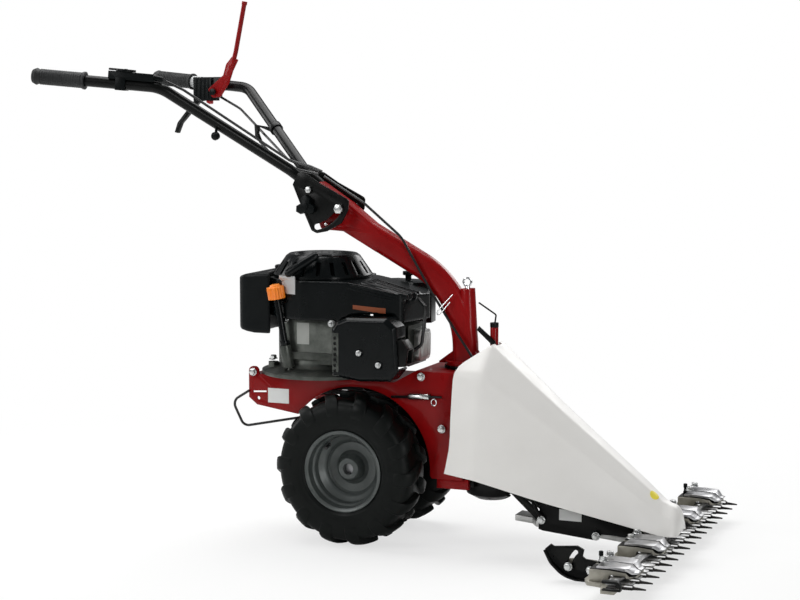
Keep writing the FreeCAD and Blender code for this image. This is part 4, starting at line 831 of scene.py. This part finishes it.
# bolts: one head, copied wherever a bolt sits
def makeBoltItem(name, flats, height, washer):
    reach = flats / math.sqrt(3)
    rings = []
    for level, share in ((0, 1), (height * 0.78, 1), (height, 0.86)):
        turns = [math.pi * i / 3 for i in range(6)]
        rings.append([(wheelMiddle + share * reach * math.cos(t), share * reach * math.sin(t),
                       level) for t in turns])
    works = [loftWork(rings)]
    disc = [(-1.6, 0), (-1.6, washer), (-0.3, washer), (0.1, washer - 0.6), (0.1, 0)]
    works.append(spinProfile(disc, 28, (wheelMiddle, 0, 0), "z"))
    return link(bpy.data.objects.new(name, softEdges(meshOf(joinWorks(works), name), 0.35, 2, 35)))


bolts = {"flats": 13, "height": 6.8, "washer": 9.2, "half": 88,
         "clamps": [50.8 * step for step in (-6.5, -2.5, 3.5, 7.5)]}


def makeBolts():
    head = makeBoltItem("boltItem", bolts["flats"], bolts["height"], bolts["washer"])
    places = []
    for side in (-1, 1):
        out = (0, side, 0)
        face = side * (bolts["half"] + 1.8)
        places += [((-250, face, 362), out), ((158, face, 374), out), ((206, face, 262), out)]
        places += [((424, side * 56.8, 73), out), ((545, side * 51.8, 47), out)]
        places += [((592, side * 249.8, 24), out), ((545, side * 249.8, 28), out)]
    for degrees in (30, 149, 211, 330):
        a = math.radians(degrees)
        places.append(((-118 + 114 * math.cos(a), 114 * math.sin(a), 385.2), (0, 0, 1)))
    for y in bolts["clamps"]:
        places += [((648, y + side * 24, 69.2), (0, 0, 1)) for side in (-1, 1)]
    mesh = copiesAt(head, places, finish["zincPlate"], "frameBolts")
    addPiece("frameBolts", mesh, "frame", "zinc", None, ("hex_bolts",), 30)
    bpy.data.objects.remove(head)


makeBolts()
print("bolts")

# hood: one thin moulded shell, ruled from its cross sections and drawn together at the nose
hoodShape = {
    "sections": [  # x, ridge height, half flat, shoulder half width and height, foot half width and height
        (226, 445, 40, 101, 388, 152, 178), (300, 445, 40, 101, 388, 150, 166),
        (440, 323, 28, 72, 284, 122, 126),
        (640, 160, 20, 44, 132, 74, 74), (690, 117, 16, 33, 93, 50, 57),
    ],
    "noseReach": 30,
    "noseEnds": [(73, 0.75), (6, 0.7), (9, 0.55), (68, 1), (12, 0.6), (56, 1)],
     # last value and how soon it comes
    "noseTuck": 8,
    "postNotch": [(255, -17), (305, -17), (305, 17), (255, 17)],
    "width": 200,
    "shell": 3.2,
    "rearEdge": [(200, 150), (233, 172), (236, 190), (240.5, 226), (241, 255), (238.6, 300),
                 (236.6, 345), (235.8, 372),
                 (237.2, 388), (243, 401), (252, 410), (300, 444.4), (300, 470), (200, 470)],
}


def hoodSection(x):
    rows = hoodShape["sections"]
    for near, far in zip(rows, rows[1:]):
        if x <= far[0]:
            share = (x - near[0]) / (far[0] - near[0])
            return [a + (b - a) * share for a, b in zip(near[1:], far[1:])]
    return list(rows[-1][1:])


def softSection(x):
    # the mean of close sections, so that no crease crosses the sides
    if x <= 304:
        return hoodSection(x)
    reach = min(26, x - 300, 692 - x)
    parts = [hoodSection(min(x + reach * k / 3, 690)) for k in (-3, -2, -1, 0, 1, 2, 3)]
    return [sum(p[i] for p in parts) / 7 for i in range(6)]


def hoodRing(x, values):
    ridge, flat, shoulder, level, foot, low = values
    size = flat / 40
    right = [(-foot, low, 0), (-(foot * 0.52 + shoulder * 0.48) - 2.5 * size, low + (level - low) * 0.5,
                               300 * size),
             (-shoulder, level, 46 * size), (-flat, ridge, 30 * size)]
    left = [(-a, b, r) for a, b, r in reversed(right)]
    return [(x, a, b) for a, b in roundedLine(right + left, 7)]


def hoodRings():
    rear = [226 + k * 12 for k in range(7)]
    sides = [304 + k * 8 for k in range(48)]
    rings = [hoodRing(x, softSection(x)) for x in rear + sides]
    last = softSection(688)
    for k in range(1, 15):
        turn = k / 14 * math.pi / 2
        keep = math.cos(turn)
        values = [end + (value - end) * keep ** power for value,
                  (end, power) in zip(last, hoodShape["noseEnds"])]
        values[5] += hoodShape["noseTuck"] * (1 - keep) ** 3
        rings.append(hoodRing(690 + hoodShape["noseReach"] * math.sin(turn) ** 0.9, values))
    return rings


def makeHood():
    work = bmesh.new()
    rows = [[work.verts.new(spot(*p)) for p in ring] for ring in hoodRings()]
    joinRings(work, rows, closed=False)
    work.faces.new(rows[-1])
    holder = link(bpy.data.objects.new("hoodHolder", meshOf(work, "hoodSkin")))
    thick = holder.modifiers.new("shell", "SOLIDIFY")
    thick.thickness = hoodShape["shell"] / 1000
    thick.offset = -1
    thick.use_even_offset = True
    shell = plainMesh(holder, "hoodShell")
    rear = prismWork(hoodShape["rearEdge"], "y", -hoodShape["width"], hoodShape["width"])
    notch = prismWork(hoodShape["postNotch"], "z", 400, 470)
    shell = cutWith(shell, [rear, notch], "hoodShell")
    addPiece("hoodShell", shell, "frame", "white_plastic", None, ("hood",), 34)


makeHood()
print("hood")

# cutter bar: slim fingers in a row, the guide at its right end, rivets on the knife, pads under the straps
cutter = {
    "pitch": 50.8,
    "count": 17,
    "rivetAt": (676.5, 685.0),
    "rivetAside": 11,
    "knifeTop": 49.35,
    "guide": [(668, 36.2), (706, 36.2), (706, 50), (700, 56), (668, 56)],
    "guideCuts": [
        [(660, 39.2), (696, 39.2), (696, 50.4), (660, 50.4)],
        [(690, 39.2), (703.4, 39.2), (703.4, 43.4), (690, 43.4)],
    ],
    "pad": [(626, 61.3), (664, 62.1), (699.5, 58.9), (706.4, 52.4), (716.4, 51.4), (716.4, 50.7),
            (706.2, 51.6),
            (699, 58.2), (664, 61.1), (626, 60.2)],
    "padSpan": (6, 43.4),
    "post": [(59, 0), (59, 5.2), (67, 5.2), (67.4, 3.6), (75, 3.6), (76, 4.6), (84, 4.6), (85, 3.4),
             (85, 0)],
    "postAt": 634,
    "postIn": 8,
}


def fingerWork():
    def ring(x, wide, low, high):
        return [(x, -wide, low), (x, wide, low), (x, wide * 0.86, high), (x, -wide * 0.86, high)]

    foot = prismWork([(672, -12.6), (688, -12.6), (693, -4), (693, 4), (688, 12.6), (672, 12.6)], "z",
                     36.15, 39.1)
    lower = loftWork([ring(690, 3.7, 35.4, 39.15), (ring(706, 3.6, 34.6, 39.15)),
                      ring(722.5, 3.3, 35.0, 39.15)])
    point = loftWork([ring(722, 2.6, 35.4, 44.2), ring(726, 1.9, 35.6, 41.6),
                      ring(739, 1.5, 36.2, 40.4), ring(748.6, 0.9, 36.6, 39.2)])
    lip = loftWork([ring(694, 3.6, 43.5, 45.0), ring(722.5, 3.3, 43.5, 44.8)])
    return joinWorks([foot, lower, point, lip])


def makeFingers(first):
    step = (0, cutter["pitch"], 0)
    row = rowOf(fingerWork(), cutter["count"], (0, first, 0), step, finish["darkSteel"], "fingerRow")
    addPiece("fingerRow", row, "frame", slotOf["fingers"], finish["darkSteel"], ("fingers",), 30)


def makeEndGuide():
    body = meshOf(prismWork(cutter["guide"], "y", -437, -424), "guide")
    cuts = [prismWork(corners, "y", -440, -420) for corners in cutter["guideCuts"]]
    guide = softEdges(cutWith(body, cuts, "guide"), 1.4, 3)
    addPiece("endGuide", guide, "frame", slotOf["fingers"], finish["blackPaint"], (), 40)


def makeRivets(first):
    dome = spinProfile([(0, 0), (0, 3.4), (0.6, 3.1), (1.1, 1.8), (1.25, 0)], 14, (wheelMiddle, 0, 0), "z")
    rivet = link(bpy.data.objects.new("rivetItem", meshOf(dome, "rivetItem")))
    near, far = cutter["rivetAt"]
    aside, level = cutter["rivetAside"], cutter["knifeTop"]
    places = []
    for k in range(cutter["count"] - 1):
        y = first + (k + 0.5) * cutter["pitch"]
        places += [((near, y - aside, level), (0, 0, 1)), ((far, y + aside, level), (0, 0, 1))]
    addCopies("knifeRivets", rivet, places, "zincPlate", "knife", 40)


def makeClampTrim():
    near, far = cutter["padSpan"]
    pads = []
    for y in bolts["clamps"]:
        pads.append(prismWork(cutter["pad"], "y", y - far, y - near))
        pads.append(prismWork(cutter["pad"], "y", y + near, y + far))
    slotName = slotOf["clamp_bases"]
    addPiece("clampPads", meshOf(joinWorks(pads), "clampPads"), "frame", slotName, finish["blackPaint"],
             (), 30)
    posts = []
    for y in (bolts["clamps"][0] + cutter["postIn"], bolts["clamps"][-1] - cutter["postIn"]):
        posts.append(spinProfile(cutter["post"], 18, (cutter["postAt"], y, 0), "z"))
    addPiece("clampPosts", meshOf(joinWorks(posts), "clampPosts"), "frame", slotName,
             finish["blackPlastic"], (), 35)


firstFinger = -(cutter["count"] - 1) / 2 * cutter["pitch"]
makeFingers(firstFinger)
makeEndGuide()
makeRivets(firstFinger)
makeClampTrim()
print("cutter bar")

# the other parts keep their own shapes; the numbers are the widths of their softened edges in millimetres
sharpFrom = {"column": 40, "clamp_straps": 24, "handlebar_cables": 60, "mowing_cable": 60,
             "tension_cable": 60}
ownFinish = {"carrier_bar": "brightCast"}
metalParts = {
    "chassis": 0.8, "column": 0.9, "lower_arms": 0.8, "gearbox_case": 0.8, "swivel_base": 0.5,
    "lock_pin": 0.5, "tilt_bracket": 0.5, "tilt_bolts": 0.5, "tilt_knob": 1.6, "handlebar_right": 0,
    "handlebar_left": 0, "throttle_box": 1.2, "throttle_lever": 0.7, "lever_housing": 1.0,
    "hand_lever": 0.9, "safety_trigger": 0.8, "mowing_lever": 0.8, "tube_clamps": 0.6,
    "cable_post": 0.5, "front_rods": 0.5, "crank_housing": 0.9, "carrier": 0.7, "carrier_bar": 0.8,
    "rocker_lever": 0.8, "cutter_bar": 0.6, "knife": 0.2, "clamp_bases": 0.9, "clamp_straps": 0.3,
    "skid_right": 0.6, "skid_left": 0.6, "axle": 0, "gearbox_pulley": 0.4, "blade_drive_shaft": 0.4,
    "drive_belts": 0.6, "crankshaft": 0.5, "grips": 0.8, "handlebar_cables": 0, "mowing_cable": 0,
    "tension_cable": 0,
}
engineParts = {
    "crankcase": 0.9, "cylinder_head": 0.5, "valve_cover": 0.8, "fuel_cap": 0.8, "dipstick": 0.5,
    "dipstick_tube": 0.5, "recoil_housing": 0.8, "starter_handle": 1.2, "muffler": 1.2,
    "air_cleaner": 1.6, "spark_lead": 0.6,
}


def dressAll(widths):
    for node, width in widths.items():
        dressNode(node, width, finish.get(ownFinish.get(node)), sharpFrom.get(node, 34))


dressAll(metalParts)
print("metal parts")

dressAll(engineParts)
mouldNode("fuel_tank", 3.0, 14)
mouldNode("engine_shroud", 1.8, 7)
mouldNode("muffler_shield", 1.6, 5)
print("engine")

# blank plates and labels, each on the surface that carries it
marks = {
    # name: (base piece, middle, outward way, outline, lift, finish)
    "shroudPlate": ("engine_shroudMould", (-152, -118, 565), (-0.15, -1, 0), boxOutline(21, 20), 1.0,
                    "silverLabel"),
    # the crankcase label takes the pale label darkened with painted shade
    "caseLabel": ("crankcaseSkin", (-126, -92, 455), (0, -1, 0), boxOutline(15, 24), 0.5, "greyLabel"),
    "shroudStripe": ("engine_shroudMould", (42, -112, 518.5), (0.12, -1, 0),
                     quadOutline([(-37, -0.5), (37, -9), (37, 3), (-37, 8.5)]), 0.5, "stripeRust"),
    "chassisLabel": ("chassisSkin", (-190, -88, 310), (0, -1, 0), boxOutline(26, 16.5), 0.5, "paleLabel"),
    "carrierLabel": ("carrierSkin", (486, -50, 86), (0, -1, 0), boxOutline(25, 12), 0.5, "paleLabel"),
    "hoodSticker": ("hoodShell", (664, -19, 142), (0.5, -0.35, 0.79), roundOutline(11), 0.5, "yellowLabel"),
}
for name, (base, centre, outward, outline, lift, surface) in marks.items():
    addMark(name, base, [plateOn(base, centre, outward, outline, lift)], surface)
print("plates and labels")

# shield: a bare metal strip with seven round vents down its rear edge, drawn as black discs of painted shade for
# the dark inside each hole, and two nuts in their recesses
shieldTrim = {"ventAt": (-19.5, 386), "pitch": 12, "vents": 7, "ventRadius": 3.9, "strip": (8.5, 47),
              "nuts": [(38, 428), (84, 404)]}


def makeShieldTrim():
    base, out = "muffler_shieldMould", (0, -1, 0)
    across, low = shieldTrim["ventAt"]
    half = (shieldTrim["vents"] - 1) * shieldTrim["pitch"] / 2
    strip = plateOn(base, (across, -156, low + half), out, boxOutline(*shieldTrim["strip"]), 0.5, 5)
    addMark("ventStrip", base, [strip], "greyCast")
    # black discs over the vents: painted shade standing in for the dark seen inside each hole
    ventShades = []
    for k in range(shieldTrim["vents"]):
        middle = (across, -156, low + k * shieldTrim["pitch"])
        ventShades.append(plateOn(base, middle, out, roundOutline(shieldTrim["ventRadius"], 18), 0.9, 2))
    addMark("ventHoles", base, ventShades, "blackPaint")


makeShieldTrim()

# small bolts of the engine, with the bosses under them
engineBolts = {
    "nuts": [((x, -155.4, z), (0, -1, 0)) for x, z in shieldTrim["nuts"]],
    "screws": [((-165.5, -94, 485.6), (0, -1, 0)), ((-219, -60, 383), (0, 0, 1)),
               ((-43, -119.8, 484.5), (0, -1, 0))],
}


def makeEngineBolts():
    nut = makeBoltItem("nutItem", 9, 4.5, 6.6)
    addCopies("shieldNuts", nut, engineBolts["nuts"], "zincPlate", "muffler_shield")
    screw = makeBoltItem("screwItem", 8, 5, 7.4)
    addCopies("engineScrews", screw, engineBolts["screws"], "zincPlate", "crankcase")
    boss = spinProfile([(-90, 0), (-90, 8.4), (-117, 7.4), (-118, 6.8), (-118, 0)], 24, (-43, 0, 484.5),
                       "y")
    foot = spinProfile([(372, 0), (372, 5), (381.5, 4.6), (381.5, 0)], 18, (-219, -60, 0), "z")
    addMark("screwBosses", "crankcaseSkin", [boss, foot], "brightCast")


makeEngineBolts()

# long ridges that run forward along the shroud's upper edge
ridges = {
    "lines": [
        [(-10, -112, 563), (36, -111, 555), (70, -106, 546.5), (96, -94, 540)],
        [(-2, -112, 569), (44, -110, 561), (78, -103, 552), (102, -89, 544)],
        [(12, -70, 572), (44, -72, 569), (74, -70, 563), (104, -66, 556)],
        [(2, -86, 573), (40, -89, 570), (72, -86, 563), (100, -79, 556)],
    ],
    "ways": [(0.15, -1, 0.25), (0.15, -1, 0.25), (0.1, 0, 1), (0.1, -0.1, 1)],
    "half": 3.2,
    "rise": 1.6,
}


def ridgeWork(line, outward):
    tree = surfaceOf("engine_shroudMould")
    outward = Vector(outward).normalized()
    spots = []
    for (near, far) in zip(line, line[1:]):
        spots += [Vector(near).lerp(Vector(far), k / 8) for k in range(8)]
    spots.append(Vector(line[-1]))
    work = bmesh.new()
    rings = []
    for i, place in enumerate(spots):
        ahead = spots[min(i + 1, len(spots) - 1)] - spots[max(i - 1, 0)]
        side = ahead.cross(outward).normalized()
        grow = math.sin(math.pi * (i + 0.6) / (len(spots) + 0.2)) ** 0.4
        ring = []
        for k in range(7):
            turn = math.pi * k / 6
            offset = side * math.cos(turn) * ridges["half"] * grow
            ground = onSurface(tree, place + offset, outward)
            ring.append(work.verts.new(ground + outward * (ridges["rise"] * grow * math.sin(turn) - 0.3) / 1000))
        rings.append(ring)
    joinRings(work, rings)
    closeEnds(work, rings)
    return work


ridgeWorks = [ridgeWork(line, way) for line, way in zip(ridges["lines"], ridges["ways"])]
addMark("shroudRidges", "engine_shroudMould", ridgeWorks, "blackPlastic", 70)
print("engine details")

# grips: low rings round the rubber
gripShape = {"start": (-690, 271, 1024.5), "aim": (-413, 212, 1000), "rings": 19, "first": 4,
             "pitch": 5.2, "radius": 17.0}


def makeGripRings():
    radius = gripShape["radius"]
    turns = [2 * math.pi * k / 8 for k in range(8)]
    profile = [(0.9 * math.cos(t), radius + 0.75 * math.sin(t)) for t in turns]
    work = closedSpin(profile, 32, (wheelMiddle, 0, 0), "z")
    ring = link(bpy.data.objects.new("ringItem", meshOf(work, "ringItem")))
    places = []
    for side in (-1, 1):
        start = Vector(gripShape["start"]) * Vector((1, side, 1))
        way = (Vector(gripShape["aim"]) * Vector((1, side, 1)) - start).normalized()
        for k in range(gripShape["rings"]):
            places.append((start + way * (gripShape["first"] + k * gripShape["pitch"]), way))
    addCopies("gripRings", ring, places, "gripRubber", "grips", 50)


makeGripRings()

# handlebar: a silver sleeve on the left tube and a round knob under the right one
barTrim = {"sleeve": (112, 140), "knob": (-310, -150, 893), "knobRoot": (-313, -137, 915)}


def makeBarTrim():
    start, aim = Vector(gripShape["start"]), Vector(gripShape["aim"])
    way = (aim - start).normalized()
    low, high = barTrim["sleeve"]
    sleeve = closedSpin([(0, 12.9), (0, 14.2), (high - low, 14.2), (high - low, 12.9)], 28, (0, 0, 0), "z")
    turnWork(sleeve, start + way * low, way)
    addMark("barSleeve", "handlebar_leftSkin", [sleeve], "silverLabel")
    knob = spinProfile([(-7, 0), (-7, 6), (-5, 9), (3, 9.4), (6.5, 7.4), (8, 3), (8.2, 0)], 24,
                       (0, 0, 0), "z")
    turnWork(knob, barTrim["knob"], (-0.1, -1, -0.2))
    stem = spinProfile([(0, 0), (0, 3.2), (24, 3.2), (24, 0)], 14, (0, 0, 0), "z")
    turnWork(stem, barTrim["knobRoot"], Vector(barTrim["knob"]) - Vector(barTrim["knobRoot"]))
    addMark("barKnob", "handlebar_rightSkin", [knob, stem], "blackPlastic")


makeBarTrim()

# wire clip on the column, hanging ring on the tension cable, strut under the hood
ringTurns = [math.pi * k / 6 for k in range(13)]
hangingRing = [(189 + 6 * math.cos(t), -97.5, 320 + 7.5 * math.sin(t)) for t in ringTurns]
wires = {
    # name: (path, radius, base piece, finish)
    "columnClip": ([(206, -27, 550), (188, -30, 530), (170, -32, 510), (173, -33, 502), (184, -31, 512),
                    (200, -28, 533)], 1.3,
                   "columnSkin", "chromePlate"),
    "hangingRing": (hangingRing, 1.3, "chassisSkin", "chromePlate"),
    "hoodStrut": ([(392, -58, 132), (408, -59, 102), (424, -60, 75)], 3.6, "carrierSkin", "blackPaint"),
}


def makeWires():
    for name, (path, radius, base, surface) in wires.items():
        mesh, body, slotName = made[base]
        wire = sheathAlong(path, radius, finish[surface], name, 12)
        addPiece(name, wire, body, slotName, finish[surface], (), 50)
    profile = [(131, 0), (131, 4.6), (134, 6.9), (175, 6.9), (179, 5.2), (179, 0)]
    addMark("cableBarrel", "chassisSkin", [spinProfile(profile, 24, (0, -94.6, 330.4), "x")], "zincPlate")


makeWires()
print("handlebar details")
